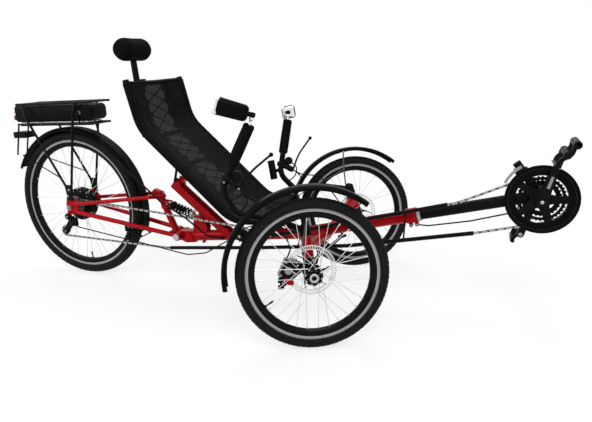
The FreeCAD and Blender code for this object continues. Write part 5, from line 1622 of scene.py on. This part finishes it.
MIRRORS = {"right": MirrorStand((-229, 310, 700), (-80, 0, 15), True),
           "left": MirrorStand((-212, 319, 700), (10, 100, 5), False)}
FENDER_STARTS = {"right": 58, "left": 42}
# places on a bar in millimetres with the steering straight: ahead of the axle, outwards, up
GRIP_FOOT = (-270, 276, 537)
GRIP_TOP = (-224, 302, 665)
SHIFTER = (-252, 270, 508)
LEVER_RING = (-283, 275, 500)
LEVER_NOSE = (-240, 272, 468)


@dataclass
class Corner:
    """One steered corner: its grip, lever, mirror, fender, brake and the bolts of its bar clamp.

    Sizes are given with the steering straight, outwards from the middle plane, and turned to rest with
    the kingpin.

    Attributes:
        name: side.
        side: -1 right, 1 left.
        pin: point on the kingpin.
        axis: kingpin direction.
        turned: degrees that the steering is turned at rest.
        lift: height that sets the wheel on the ground.
        front_axle: front axle ahead of the origin.
    """

    name: str
    side: int
    pin: Vector
    axis: Vector
    turned: float
    lift: float
    front_axle: float = 0.355

    def __post_init__(self) -> None:
        """Keeps the turn from straight to rest."""
        turn = rotated(self.turned, self.axis)
        self.rest = Matrix.Translation(self.pin) @ turn @ Matrix.Translation(-self.pin)
        self.body = f"steering_{self.name}"

    def at(self, x: float, y: float, z: float) -> Vector:
        """Point at rest, from millimetres with the steering straight."""
        return self.rest @ self.straight(x, y, z)

    def straight(self, x: float, y: float, z: float) -> Vector:
        """Point with the steering straight, from millimetres."""
        return Vector((self.front_axle + x * MM, self.side * y * MM, z * MM + self.lift))

    def way(self, x: float, y: float, z: float) -> Vector:
        """Direction at rest, from one with the steering straight."""
        return (self.at(x, y, z) - self.at(0, 0, 0)).normalized()

    def build(self) -> None:
        """Makes every piece of the corner."""
        self._grip()
        self._lever()
        self._mirror()
        self._fender()
        self._caliper()
        self._clamp()

    def _mount(self, piece: Piece, name: str, slot: str, *nodes: str) -> None:
        """Mounts a piece on this corner's steering."""
        FITTER.mount(piece, f"{name}_{self.name}", self.body,
                     [f"{node}_{self.name}" for node in nodes])

    def _grip(self) -> None:
        """Soft foam grip, a little barrelled, with a thin ring near each end."""
        low, high = self.at(*GRIP_FOOT), self.at(*GRIP_TOP)
        along = (high - low).normalized()
        start, long = low + along * 0.006, (high - low).length - 0.002
        r = 0.0175
        foam = Bench.turn([(0.0112, 0.0), (r - 0.003, 0.0), (r - 0.0006, 0.0015), (r, 0.005),
                           (r + 0.0006, long * 0.35), (r + 0.0004, long * 0.7), (r, long - 0.004),
                           (r - 0.001, long - 0.001), (r - 0.0035, long), (0.0112, long)], 48)
        Bench.dress(Bench.stood(foam, start, along), Shop.FOAM, 60)
        rings = [
            Bench.turn([(r - 0.001, at - 0.0007), (r + 0.0011, at - 0.0005), (r + 0.0011, at + 0.0005),
                        (r - 0.001, at + 0.0007)], 48) for at in (0.008, long - 0.009)]
        Bench.dress(Bench.stood(Bench.joined(rings), start, along), Shop.PLASTIC, 60)
        self._mount(Bench.joined([foam, rings[0]]), "foam_grip", "foam", "grip")

    def _lever(self) -> None:
        """Clamp, master cylinder, hooked blade with its ball end, and the round shifter."""
        ring = self.at(*LEVER_RING)
        way = (self.at(*GRIP_FOOT) - self.at(-296, 274, 462)).normalized()
        nose = self.at(*LEVER_NOSE)
        parts = []
        clamp = Bench.turn_mm(both_ways([(11.2, -9), (16.2, -9), (17, -8)]), 40)
        parts.append(Bench.stood(clamp, ring, way))
        reach = nose - ring
        body = Bench.turn([(0.0, 0.008), (0.0092, 0.008), (0.0118, 0.014), (0.0108, 0.03), (0.0118, 0.038),
                           (0.0112, reach.length - 0.003), (0.009, reach.length), (0.0, reach.length)], 32)
        parts.append(Bench.stood(body, ring, reach.normalized()))
        metal = Bench.dressed(parts, Shop.ANODISED, 35)
        blade_line = [self.at(*spot)
                      for spot in ((-243, 272, 464), (-236, 272, 478), (-214, 272, 516), (-196, 271.6, 538),
                                   (-180, 271, 553), (-164, 270.4, 569), (-150, 270, 582))]
        blade = Bench.dress(Bench.tube(blade_line, 0.0036, 3), Shop.BLACK_LACQUER)
        ball = Bench.dress(
            Bench.fresh(bpy.ops.mesh.primitive_uv_sphere_add, segments=24, ring_count=16, radius=0.007),
            Shop.BLACK_LACQUER)
        Bench.shifted(ball, blade_line[-1])
        across = self.way(0, 1, 0)
        shifter = Bench.turn_mm(
            [(0, -11), (12, -11), (14.6, -10), (15.6, -8), (15.6, 5), (14.2, 6.5), (14.6, 10), (12, 11),
             (0, 11)], 36)
        Bench.stood(shifter, self.at(*SHIFTER), across)
        knurl = Bench.block((0.0012, 0.0012, 0.012), 0.0003, 1)
        Bench.shifted(knurl, (0.0156, 0, -0.0015))
        knurls = Bench.stood(Bench.ring(knurl, 28), self.at(*SHIFTER), across)
        link = Bench.rod(ring, self.at(*SHIFTER), 0.0048)
        loops = [
            Bench.tube(
            [self.at(*spot)
             for spot in ((-238, 272, 466), (-222, 274, 452), (-212, 276, 430), (-222, 278, 404),
                          (-246, 279, 394), (-274, 280, 402))], 0.0024, 4),
            Bench.tube(
            [self.at(*spot)
             for spot in ((-246, 266, 500), (-228, 264, 490), (-226, 264, 462), (-244, 266, 436),
                          (-274, 270, 426))], 0.0024, 4)]
        grip = Bench.dressed([shifter, knurls, link] + loops, Shop.PLASTIC, 35)
        bolts = []
        for spot in ((-243, 283, 470), (-289, 291, 488)):
            bolt = Bench.turn_mm([(0, -4), (2.6, -4), (3.4, 0), (3.4, 1.6), (2, 2.2), (1.6, 0.8), (0, 0.8)],
                                 12)
            bolts.append(Bench.stood(bolt, self.at(*spot), across * self.side))
        bolts = Bench.dressed(bolts, Shop.ALUMINIUM)
        self._mount(Bench.joined([metal, blade, ball, grip, bolts]), "lever_and_shifter", "black_metal",
                    "brake_lever")

    def _mirror(self) -> None:
        """Rounded mirror shell with its glass, on a chromed stem with a clamp block."""
        top, knee = self.at(*GRIP_TOP), self.at(-216, 305, 699)
        stand = MIRRORS[self.name]
        front, rear = self.at(*stand.start), self.at(*(a + b for a, b in zip(stand.start, stand.way)))
        back = (rear - front).normalized()
        across = self.way(0, 1, 0)
        up = self.at(0, 0, 1) - self.at(0, 0, 0)
        up = (up - back * up.dot(back)).normalized()
        lay = Matrix((back, up.cross(back), up)).transposed().to_4x4()
        long, wide, tall = 0.106, 0.06, 0.055
        shell = Bench.block((long, wide, tall), 0.0145, 6)
        Bench.shifted(shell, (long / 2, 0, 0))
        for vertex in shell.data.vertices:
            share = vertex.co.x / long
            vertex.co.y *= 0.9 + 0.1 * share
            vertex.co.z *= 0.9 + 0.1 * share
            if share > 0.9:
                vertex.co.x = long * 0.975
        Bench.dress(shell, Shop.GLOSS, 50)
        glass = Bench.block((0.0022, wide - 0.012, tall - 0.012), 0.0009, 2)
        rim = Bench.block((0.016, wide - 0.001, tall - 0.001), 0.006, 4)
        seat = Matrix.Translation((long - 0.0014, 0, 0))
        if not stand.glass_on_end:
            stretch = (long - 0.01) / wide
            for piece in (glass, rim):
                piece.data.transform(Matrix.Diagonal((1.0, stretch, 1.0, 1.0)))
            seat = Matrix.Translation((long / 2, wide / 2 - 0.0016, 0)) @ rotated(90, "Z")
        Bench.moved(glass, seat)
        Bench.moved(rim, seat @ Matrix.Translation((-0.0074, 0, 0)))
        Bench.dress(glass, Shop.GLASS)
        Bench.dress(rim, Shop.CHROME)
        if not stand.glass_on_end:
            cap = Bench.shifted(Bench.block((0.0024, wide - 0.014, tall - 0.012), 0.001, 2),
                                (-0.0006, 0, 0))
            shell = Bench.joined([shell, Bench.dress(cap, Shop.CHROME)])
        head = Bench.moved(Bench.joined([shell, rim, glass]), Matrix.Translation(front) @ lay)
        stem = Bench.rod(top - (knee - top).normalized() * 0.003, knee, 0.0044)
        ball = Bench.fresh(bpy.ops.mesh.primitive_uv_sphere_add, segments=20, ring_count=12, radius=0.0072)
        Bench.shifted(ball, knee.lerp(top, 0.35))
        chrome = Bench.dressed([stem, ball], Shop.CHROME)
        block = Bench.block((0.018, 0.018, 0.015), 0.0035)
        Bench.moved(block, Matrix.Translation(knee) @ lay)
        neck = Bench.rod(knee, front + back * 0.006, 0.0068, 0.0085)
        black = Bench.dressed([block, neck], Shop.PLASTIC, 35)
        screw = Bench.turn_mm([(0, 0), (3, 0), (3, 2), (0, 2.4)], 12)
        Bench.stood(screw, knee + across * self.side * 0.0088, across * self.side)
        Bench.dress(screw, Shop.STEEL)
        self._mount(Bench.joined([head, chrome, black, screw]), "mirror_head", "plastic", "mirror")

    def _fender(self) -> None:
        """Slim rolled fender over the wheel, its bolted stay and the wire at its rear."""
        hub = Vector((self.front_axle, self.side * 0.375, 0.238 + self.lift))
        shell = fender_shell(hub, 0.273, 0.058, FENDER_STARTS[self.name], 136)
        for vertex in shell.data.vertices:
            vertex.co = self.rest @ vertex.co
        stay = Bench.tube(
            [self.at(*spot)
             for spot in ((-8, 316, 246), (-34, 316, 262), (-30, 316, 360), (-26, 316, 450),
                          (-10, 349, 501))], 0.003, 3)
        wire = Bench.rod(self.at(-27, 316, 430), self.at(-235.8, 348, 352.8), 0.002, sides=10)
        metal = Bench.dressed([stay, wire], Shop.GREY)
        bolts = []
        for spot in (self.at(-11, 346, 498), self.at(-233, 347, 354)):
            out = self.way(0, -1, 0)
            bolt = Bench.turn_mm([(0, 0), (4.2, 0), (4.2, 2.4), (2.6, 3.4), (0, 3.4)], 14)
            bolts.append(Bench.stood(bolt, spot, out))
        bolts = Bench.dressed(bolts, Shop.STEEL)
        self._mount(Bench.joined([shell, metal, bolts]), "fender_shell", "plastic", "front_fender")

    def _caliper(self) -> None:
        """Two-part disc caliper with cooling fins, bridge bolts and a red lever bracket."""
        centre = self.straight(-74, 331, 236)
        lay = self.rest @ Matrix.Translation(centre) @ rotated(18, "Y")
        halves, cores = [], []
        for side in SIDES:
            half = Bench.block((0.042, 0.0128, 0.06), 0.004)
            cores.append(Bench.shifted(half, (0, side * 0.0102, 0)))
            pot = Bench.turn_mm([(0, 0), (12.8, 0), (12, 3.5), (6, 4.2), (0, 4.2)], 28)
            halves.append(Bench.stood(pot, (0.002, side * 0.0158, 0), (0, side, 0)))
        bridge = Bench.block((0.011, 0.03, 0.056), 0.0025)
        halves.append(Bench.shifted(bridge, (-0.0175, 0, 0)))
        body = Bench.joined(
            [Bench.dressed(halves, Shop.CALIPER, 35), Bench.dressed(cores, Shop.ANODISED, 35)])
        fins = [Bench.shifted(Bench.block((0.0035, 0.03, 0.018), 0.0008, 1), (0.015 - 0.0065 * i, 0, 0.03))
                for i in range(4)]
        fins = Bench.dressed(fins, Shop.ALUMINIUM)
        bolts = []
        for z in (0.023, -0.023):
            for side in SIDES:
                bolt = Bench.turn_mm([(0, -1), (4.4, -1), (4.4, 3.2), (2.2, 3.2), (2.2, 1.5), (0, 1.5)], 14)
                bolts.append(Bench.stood(bolt, (-0.016, side * 0.016, z), (0, side, 0)))
        bolts = Bench.dressed(bolts, Shop.STEEL)
        bracket = Bench.prism(
            [Vector((x, 0.0, z))
             for x, z in ((0.002, -0.024), (0.02, -0.022), (0.032, -0.028), (0.034, -0.038), (0.02, -0.043),
                          (0.006, -0.04))], (0, 0.0055, 0), 0.001)
        Bench.shifted(bracket, (0, 0.015 * self.side, 0))
        Bench.dress(bracket, Shop.CRIMSON)
        whole = Bench.moved(Bench.joined([body, fins, bolts, bracket]), lay)
        self._mount(whole, "disc_caliper", "black_metal", "caliper")

    def _clamp(self) -> None:
        """Pinch bolts of the bar clamp and the kingpin's washers."""
        parts = []
        across = self.way(0, 1, 0) * self.side
        top = self.pin + self.axis * 0.061
        for way in (-1, 1):
            spot = top + across * 0.018 + self.axis * 0.008 * way
            bolt = Bench.turn_mm(
                [(0, -4), (3, -4), (4.2, -0.5), (4.2, 3), (2.2, 3.4), (2.2, 1.6), (0, 1.6)], 16)
            parts.append(Bench.stood(bolt, spot, across))
        r = 0.0168
        for along in (-0.0222, 0.044):
            washer = Bench.turn(
                [(0.0085, -0.0008), (r, -0.0008), (r + 0.0006, 0.0), (r, 0.0008), (0.0085, 0.0008)], 40)
            parts.append(Bench.stood(washer, self.pin + self.axis * along, self.axis))
        self._mount(Bench.dressed(parts, Shop.STEEL), "kingpin_washers", "steel")


def fender_shell(hub: Vector, radius: float, wide: float, start: float, sweep: float) -> Piece:
    """Rolled fender: crowned middle, shoulders and turned-down lips, with rounded ends.

    Args:
        hub: wheel centre.
        radius: inner radius.
        wide: width.
        start: degrees of its front end, from ahead over the top.
        sweep: degrees that it covers.

    Returns:
        The shell.
    """
    half, lip, crown = wide / 2, 0.012, 0.005
    line = [(radius - lip, -half + 0.0006), (radius - lip * 0.4, -half), (radius - 0.0006, -half + 0.0016),
            (radius + crown * 0.55, -half * 0.8), (radius + crown * 0.88, -half * 0.45),
            (radius + crown, 0.0)]
    line += [(r, -z) for r, z in line[-2::-1]]
    strip = Bench.outline([Vector((r, 0.0, z)) for r, z in line], fill=False)
    Bench.pick(strip)
    bpy.ops.object.mode_set(mode="EDIT")
    bpy.ops.mesh.select_all(action="DESELECT")
    bpy.ops.object.mode_set(mode="OBJECT")
    for edge in strip.data.edges:
        edge.select = set(edge.vertices) == {0, len(line) - 1}
    bpy.ops.object.mode_set(mode="EDIT")
    bpy.ops.mesh.select_mode(type="EDGE")
    bpy.ops.mesh.delete(type="EDGE")
    bpy.ops.object.mode_set(mode="OBJECT")
    Bench.spun(strip, int(sweep / 2.5), -math.radians(sweep))
    for vertex in strip.data.vertices:
        at = math.degrees(math.atan2(vertex.co.y, vertex.co.x)) % 360
        ends = min(abs(at), abs(at - 360), abs(at - sweep)) / 2.5
        if ends < 3.0:
            vertex.co.z *= 0.8 + 0.2 * math.sin(math.pi / 2 * min(1.0, (ends + 0.6) / 3.6))
    strip.data.transform(rotated(start, "Z"))
    Bench.modify(strip, "SOLIDIFY", thickness=0.0022, offset=-1.0)
    Bench.stood(strip, hub, RIGHT)
    return Bench.dress(strip, Shop.GLOSS, 50)


# ------------------------------------------------------------------ rear end
@dataclass
class Luggage:
    """Battery in the rack, its slide, lamp and lock.

    Attributes:
        low: underside of the case.
        top: top of the case.
        front: front end of the case.
        rear: rear end of the case.
        half: half width of the case.
    """

    low: float = 0.684
    top: float = 0.755
    front: float = -0.649
    rear: float = -1.072
    half: float = 0.052

    def build(self) -> None:
        """Makes the battery case, the rear lamp and the rack's bolts."""
        self._battery()
        self._lamp()
        self._rack_trim()

    def _battery(self) -> None:
        """Rounded case with a seam, side grooves, lock, charging cap and slide."""
        long, tall = self.front - self.rear, self.top - self.low
        middle = Vector(((self.front + self.rear) / 2, 0, (self.top + self.low) / 2))
        case = Bench.block((long, self.half * 2, tall), 0.016, 6)
        for vertex in case.data.vertices:
            if vertex.co.x > long / 2 - 0.034:
                share = (vertex.co.x - long / 2 + 0.034) / 0.034
                vertex.co.z *= 1 - 0.3 * share ** 2
            elif vertex.co.x < 0.014 - long / 2:
                vertex.co.y *= 0.86
                vertex.co.z *= 0.88
        Bench.dress(Bench.shifted(case, middle), Shop.PLASTIC, 40)
        seam = Bench.block((long - 0.012, self.half * 2 + 0.001, 0.0016), 0.0006, 1)
        Bench.dress(Bench.shifted(seam, middle + Vector((0, 0, 0.006))), Shop.GLOSS)
        grooves = []
        for side in SIDES:
            for i in range(3):
                bar = Bench.block((long * 0.62, 0.0016, 0.0034), 0.0007, 1)
                grooves.append(
                    Bench.shifted(
                    bar, middle + Vector((-0.02, side * (self.half + 0.0002), -0.006 - 0.0075 * i))))
        grooves = Bench.dressed(grooves, Shop.GLOSS)
        slide = Bench.block((long - 0.06, self.half * 2 - 0.02, 0.0052), 0.0014)
        Bench.dress(Bench.shifted(slide, (middle.x, 0, self.low - 0.0026)), Shop.ALUMINIUM)
        lock = Bench.turn_mm([(0, 0), (8.5, 0), (8.5, 1.6), (3, 2.2), (0, 1)], 24)
        Bench.dress(Bench.stood(lock, (self.front - 0.06, -self.half, middle.z), RIGHT), Shop.ALUMINIUM)
        cap = Bench.turn_mm([(0, 0), (11, 0), (11, 2), (9, 3), (0, 3)], 24)
        Bench.dress(Bench.stood(cap, (self.front - 0.095, self.half, middle.z), ACROSS), Shop.PLASTIC)
        FITTER.mount(Bench.joined([case, seam, grooves, slide, lock, cap]), "battery_case", "frame",
                     ["battery"])

    def _lamp(self) -> None:
        """Low rear lamp in the battery's tail."""
        lens = Bench.block((0.014, 0.096, 0.013), 0.0028)
        Bench.dress(Bench.shifted(lens, (self.rear + 0.006, 0, self.low + 0.02)), Shop.LENS)
        frame = Bench.block((0.016, 0.094, 0.02), 0.0022)
        Bench.dress(Bench.shifted(frame, (self.rear + 0.008, 0, self.low + 0.02)), Shop.GLOSS)
        FITTER.mount(Bench.joined([lens, frame]), "rear_lamp", "frame")

    @staticmethod
    def _rack_trim() -> None:
        """Bright eyelet bolts where the rack's legs meet the dropouts."""
        parts = []
        for side in SIDES:
            for x, z in ((-0.8, 0.4), (-0.811, 0.372)):
                bolt = Bench.turn_mm([(0, -2), (5, -2), (5, 2.4), (3, 3.6), (0, 3.6)], 14)
                parts.append(Bench.stood(bolt, (x, side * 0.08, z), (0, side, 0)))
        FITTER.mount(Bench.dressed(parts, Shop.STEEL), "rack_bolts", "frame")


POST_WAY = Vector((-76.0, 0.0, 104.0)).normalized()


@dataclass
class Gears:
    """Rear derailleur, front derailleur and idler pulleys.

    Attributes:
        crank: crank axle.
        line: the chain's plane.
    """

    crank: Vector
    line: float = -0.046

    def build(self) -> None:
        """Makes each mechanism."""
        self._rear_derailleur()
        self._front_derailleur()
        self._idler()

    def _front_derailleur(self) -> None:
        """Two bright cage plates joined at their rear, on a link and a clamp round the boom's post."""
        plates = []
        for y, low, high in ((0.0055, 0.112, 0.1195), (-0.005, 0.113, 0.12), (0.0003, 0.1185, 0.1205)):
            thick = 0.0016 if high - low > 0.004 else 0.0115
            around = [math.radians(122 + 34 * i / 12) for i in range(13)]
            ring = [Vector((high * math.cos(a), 0, high * math.sin(a))) for a in around]
            ring += [Vector((low * math.cos(a), 0, low * math.sin(a))) for a in reversed(around)]
            shift = self.crank + Vector((0, self.line + y, 0))
            plates.append(Bench.prism([spot + shift for spot in ring], (0, thick, 0)))
        cage = Bench.dressed(plates, Shop.STEEL, 30)
        clamp = self.crank + POST_WAY * 0.092
        band = Bench.turn_mm(both_ways([(15.2, -8), (18, -8), (18.5, -7)]), 40)
        Bench.stood(band, clamp, POST_WAY)
        box = Bench.stood(Bench.block((0.03, 0.024, 0.022), 0.003),
                          clamp + POST_WAY * 0.004 + Vector((-0.01, -0.01, 0.004)), POST_WAY)
        at = math.radians(132)
        hook = self.crank + Vector((0.114 * math.cos(at), self.line + 0.0055, 0.114 * math.sin(at)))
        link = Bench.rod(hook, clamp - Vector((0, 0.016, 0)), 0.005)
        dark = Bench.dressed([band, box, link], Shop.ANODISED, 35)
        FITTER.mount(Bench.joined([cage, dark]), "shifting_cage", "frame",
                     ["front_derailleur"])

    @staticmethod
    def _pulley(centre: Vector, radius: float, teeth: int, finish: Finish) -> Piece:
        """A toothed guide wheel with a bright bolt.

        Args:
            centre: its axle.
            radius: over the teeth.
            teeth: number of teeth.
            finish: its surface.

        Returns:
            The pulley.
        """
        wheel = Bench.dress(toothed(radius, 0.0035, teeth, -0.0012, 0.0024, 0.003), finish, 30)
        hub = Bench.turn_mm(both_ways([(0, -5.2), (6.2, -5.2), (6.6, -4)]), 24)
        Bench.dress(hub, finish, 30)
        bolt = Bench.turn_mm(both_ways([(0, -8.8), (3.8, -8.8), (4.2, -7)]), 20)
        Bench.dress(bolt, Shop.STEEL, 30)
        return Bench.stood(Bench.joined([wheel, hub, bolt]), centre, RIGHT)

    def _rear_derailleur(self) -> None:
        """Cage plates, two jockey wheels, the linked body on its knuckle, and the hanger with its bolt."""
        guide, tension = (Vector((x, self.line, z)) for x, z in (GUIDE, TENSION))
        way = (tension - guide).normalized()
        side = Vector((way.z, 0, -way.x))
        parts = [self._pulley(guide, 0.0172, 11, Shop.PLASTIC),
                 self._pulley(tension, 0.0172, 11, Shop.PLASTIC)]
        outline = [(-0.0125, 0.008), (-0.006, 0.0135), (0.01, 0.013), (0.028, 0.011), (0.052, 0.0105),
                   (0.066, 0.0125), (0.0755, 0.0115), (0.0805, 0.0062)]
        for y in (-0.0072, 0.0072):
            start = guide + Vector((0, y, 0))
            plate = Bench.prism([start + way * a + side * h for a, h in both_ways(outline)], (0, 0.002, 0),
                                0.0005)
            parts.append(Bench.dress(plate, Shop.ANODISED, 30))
        bolt = Vector((-0.827, -0.076, 0.282))
        knuckle = Bench.turn_mm([(0, -3), (13, -3), (13.8, 2), (13.8, 11), (11, 14.5), (0, 14.5)], 28)
        parts.append(Bench.dress(Bench.stood(knuckle, bolt, RIGHT), Shop.ANODISED, 35))
        mech = Vector((guide.x + 0.026, self.line - 0.022, guide.z - 0.006))
        for shift in (-0.0058, 0.0058):
            link = Bench.prism(
                [bolt + Vector((0.006, -0.008, shift - 0.0065)),
                 bolt + Vector((0.008, -0.008, shift + 0.0025)),
                 mech + Vector((0.006, 0.002, shift + 0.005)),
                 mech + Vector((0.004, 0.002, shift - 0.005))], (0, 0.0045, 0), 0.001)
            parts.append(Bench.dress(link, Shop.ANODISED, 30))
        body = Bench.block((0.04, 0.018, 0.032), 0.007)
        parts.append(Bench.dress(Bench.shifted(body, mech), Shop.ANODISED, 40))
        pivot = Bench.rod(mech + Vector((-0.006, 0.0, 0)), guide + Vector((0, -0.009, 0)), 0.0082, 0.0072)
        parts.append(Bench.dress(pivot, Shop.ANODISED))
        hanger = Bench.prism(
            [bolt + Vector((x * MM, 0.0005, z * MM))
             for x, z in ((-9, -11), (9, -11), (13, 2), (13, 16), (-5, 18), (-8, 4))], (0, 0.0055, 0),
            0.0012)
        parts.append(Bench.dress(hanger, Shop.CRIMSON))
        face = Bench.turn_mm([(0, 0), (5.2, 0), (5.2, 1.6), (3, 2.2), (2.8, 0.8), (0, 0.8)], 16)
        parts.append(Bench.dress(Bench.stood(face, bolt + Vector((0, -0.0148, 0)), RIGHT), Shop.STEEL))
        FITTER.mount(Bench.joined(parts), "derailleur_mech", "frame", ["rear_derailleur"])

    def _idler(self) -> None:
        """Two chain pulleys under the seat on their plates."""
        parts = []
        for (x, z), r in ((IDLER_REAR, 0.0298), (IDLER_FRONT, 0.0258)):
            parts.append(self._pulley(Vector((x, self.line, z)), r, int(r * 900 / 2), Shop.PLASTIC))
            pin = Bench.rod((x, self.line - 0.02, z), (x, self.line + 0.016, z), 0.0058)
            parts.append(Bench.dress(pin, Shop.STEEL))
        base = [(-0.04, 0.2255), (-0.018, 0.2215), (0.086, 0.235), (0.088, 0.26), (0.079, 0.274),
                (0.056, 0.275), (0.016, 0.253), (-0.017, 0.25), (-0.034, 0.244)]
        web = Bench.prism([Vector((x, -0.0265, z)) for x, z in base], (0, 0.0055, 0), 0.0012)
        parts.append(Bench.dress(web, Shop.ANODISED, 30))
        FITTER.mount(Bench.joined(parts), "idler_pulleys", "frame", ["idler"])


# ------------------------------------------------------------------ the frame's own parts
@dataclass
class FrameTrim:
    """The boom's band with its clamp bolts, and the frame's weld beads.

    Attributes:
        front_axle: front axle ahead of the origin.
    """

    front_axle: float = 0.355

    def spot(self, x: float, y: float, z: float) -> Vector:
        """Point from millimetres ahead of the front axle."""
        return Vector((self.front_axle + x * MM, y * MM, z * MM))

    def line(self, x: float) -> Vector:
        """Point on the main tube's and boom's common line."""
        bend, crank = self.spot(-150, 0, 243), self.spot(673, 0, 418)
        return bend.lerp(crank, (x + 150) / 823)

    def build(self) -> None:
        """Makes the trim."""
        self._collar()
        self._welds()

    def _collar(self) -> None:
        """Bright band at the boom's mouth and two clamp bolts."""
        ahead = (self.line(600) - self.line(0)).normalized()
        front = self.line(290)
        band = Bench.turn_mm([(19.1, 0.2), (22.4, 0.2), (23.2, 1.2), (23.2, 10.8), (22.4, 12), (19.1, 12)],
                             48)
        Bench.dress(Bench.stood(band, front, ahead), Shop.ALUMINIUM, 30)
        parts = [band]
        for x in (-8, -28):
            low = front + ahead * x * MM + Vector((ahead.z, 0, -ahead.x)) * 0.033
            for side in SIDES:
                bolt = Bench.turn_mm([(0, -1), (5, -1), (5, 3.8), (2.6, 4.4), (2.6, 2), (0, 2)], 20)
                parts.append(
                    Bench.dress(Bench.stood(bolt, low + Vector((0, side * 0.009, 0)), (0, side, 0)),
                                Shop.STEEL))
        FITTER.mount(Bench.joined(parts), "boom_band", "frame")

    def _welds(self) -> None:
        """Fish-scale weld beads round the frame's tube ends."""
        pivot = self.spot(-671, 0, 209)
        beads = [self._bead(pivot + ACROSS * at, ACROSS, 0.0182) for at in (-0.0245, 0.0245)]
        ahead = (self.line(290) - self.line(0)).normalized()
        beads.append(self._bead(self.line(290) - ahead * 0.038, ahead, 0.0228))
        FITTER.mount(Bench.dressed(beads, Shop.CRIMSON, 60), "weld_beads", "frame")

    @staticmethod
    def _bead(centre: Vector, axis: Vector, radius: float) -> Piece:
        """One ring of weld.

        Args:
            centre: middle of the ring.
            axis: tube's direction.
            radius: ring radius.

        Returns:
            The bead.
        """
        scales = max(24, int(radius * math.tau / 0.0035))
        drop = Bench.fresh(bpy.ops.mesh.primitive_uv_sphere_add, segments=8, ring_count=6, radius=0.0021)
        Bench.shifted(drop, (radius, 0, 0))
        return Bench.stood(Bench.ring(drop, scales), centre, axis)


CAD_FINISHES: dict[str, Finish] = {
    "main_tube": Shop.CRIMSON, "seat_stay": Shop.CRIMSON, "cross_member": Shop.CRIMSON,
    "swingarm": Shop.CRIMSON, "boom": Shop.SATIN_BLACK, "pivot_bolt": Shop.ALUMINIUM,
    "seat_frame": Shop.BLACK_LACQUER, "seat_links": Shop.ANODISED, "seat_post": Shop.SATIN_BLACK,
    "headrest_post": Shop.ANODISED, "rack": Shop.BLACK_LACQUER, "rear_fender": Shop.GLOSS,
    "tail_bracket": Shop.SATIN_BLACK, "rear_axle": Shop.STEEL, "chain_tube_upper": Shop.PLASTIC,
    "chain_tube_lower": Shop.PLASTIC, "rear_brake": Shop.ANODISED, "power_cable": Shop.CABLE,
    "gear_cable": Shop.CABLE, "boom_cable": Shop.CABLE, "tie_rod": Shop.SATIN_BLACK,
    "control_pod": Shop.PLASTIC,}
SIDE_FINISHES: dict[str, Finish] = {
    "knuckle": Shop.ANODISED, "handlebar": Shop.SATIN_BLACK, "brake_hose": Shop.CABLE}


def dress_frame(nodes: dict[str, Piece]) -> None:
    """Gives every carried-over part its finish.

    Args:
        nodes: the frame's own parts.
    """
    for name, part in nodes.items():
        finish = CAD_FINISHES.get(name) or SIDE_FINISHES.get(name.rsplit("_", 1)[0])
        if finish is None:
            continue
        for place in part.material_slots:
            place.material = finish.material()
        if not part.material_slots:
            part.data.materials.append(finish.material())
        LOG.info("%s wears %s", name, finish.name)


def joint_line(record: dict, name: str) -> tuple[Vector, Vector]:
    """Point and direction of a joint.

    Args:
        record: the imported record.
        name: the joint.

    Returns:
        Its point and its axis.
    """
    joint = next(j for j in record["behaviour"]["joints"] if j["name"] == name)
    return Vector(joint["pos_m"]), Vector(joint["axis"]).normalized()


def main() -> None:
    """Loads the frame, dresses it and mounts every piece."""
    logging.basicConfig(level=logging.INFO, format="%(name)s: %(message)s")
    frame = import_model()
    record = frame["record"]
    Studio().build()
    dress_frame(frame["nodes"])
    for name, side, turned, lift in (("right", -1, 26.7, -0.005125), ("left", 1, 29.7, 0.007513)):
        pin, axis = joint_line(record, f"steer_{name}")
        Corner(name, side, pin, axis, turned, lift).build()
        centre, spin = joint_line(record, f"front_wheel_{name}_spin")
        out = spin if spin.y * side > 0 else -spin
        FrontWheel(f"front_{name}", f"front_wheel_{name}", frame_for(centre, out),
                   nodes=(f"front_tyre_{name}", f"front_rim_{name}"), hub_node=f"front_hub_{name}").build()
        eye, _ = joint_line(record, f"pedal_{name}_spin")
        Pedal(name, eye, side).build()
    hub, _ = joint_line(record, "rear_wheel_spin")
    RearWheel("rear", "rear_wheel", frame_for(hub, RIGHT), outer=0.32, section=0.0235, rim=0.286, spokes=36,
              flange=0.0715, flange_at=0.013, sweep=14.0, valve_way=Vector((0.05, 0.0, -1.0)),
              nodes=("rear_tyre", "rear_rim")).build()
    crank, _ = joint_line(record, "crank_spin")
    Crankset(crank).build()
    Chain(chain_wheels(hub, crank)).build()
    Shock(Vector(SHOCK_REAR), Vector(SHOCK_FRONT)).build()
    Sling(SEAT_RAIL).build()
    Headrest(Vector(HEADREST)).build()
    Luggage().build()
    Gears(crank).build()
    FrameTrim().build()
    LOG.info("%d pieces mounted", FITTER.count)


def chain_wheels(hub: Vector, crank: Vector) -> list[tuple[float, float, float]]:
    """The wheels and gentle bends that the chain follows, in running order.

    Args:
        hub: rear axle.
        crank: crank axle.

    Returns:
        (x, z, radius) in metres; a negative radius turns the run the other way.
    """
    tilt = Vector((80, 0, -300)).normalized() * -0.3
    rings = [(crank.x, crank.z, 0.077), (0.765 + tilt.x, 0.392 + tilt.z, -0.3), (*IDLER_FRONT, -0.03),
             (*IDLER_REAR, 0.034), (hub.x, hub.z, 0.034), (*GUIDE, -0.022), (*TENSION, 0.022)]
    lift = Vector((-0.1, 0, 1)) * 0.3
    rings += [(x + lift.x, z + lift.z, 0.3)
              for x, z in ((-0.338, 0.161), (0.057, 0.189), (0.396, 0.22), (0.812, 0.291))]
    return rings


if __name__ == "__main__":
    main()
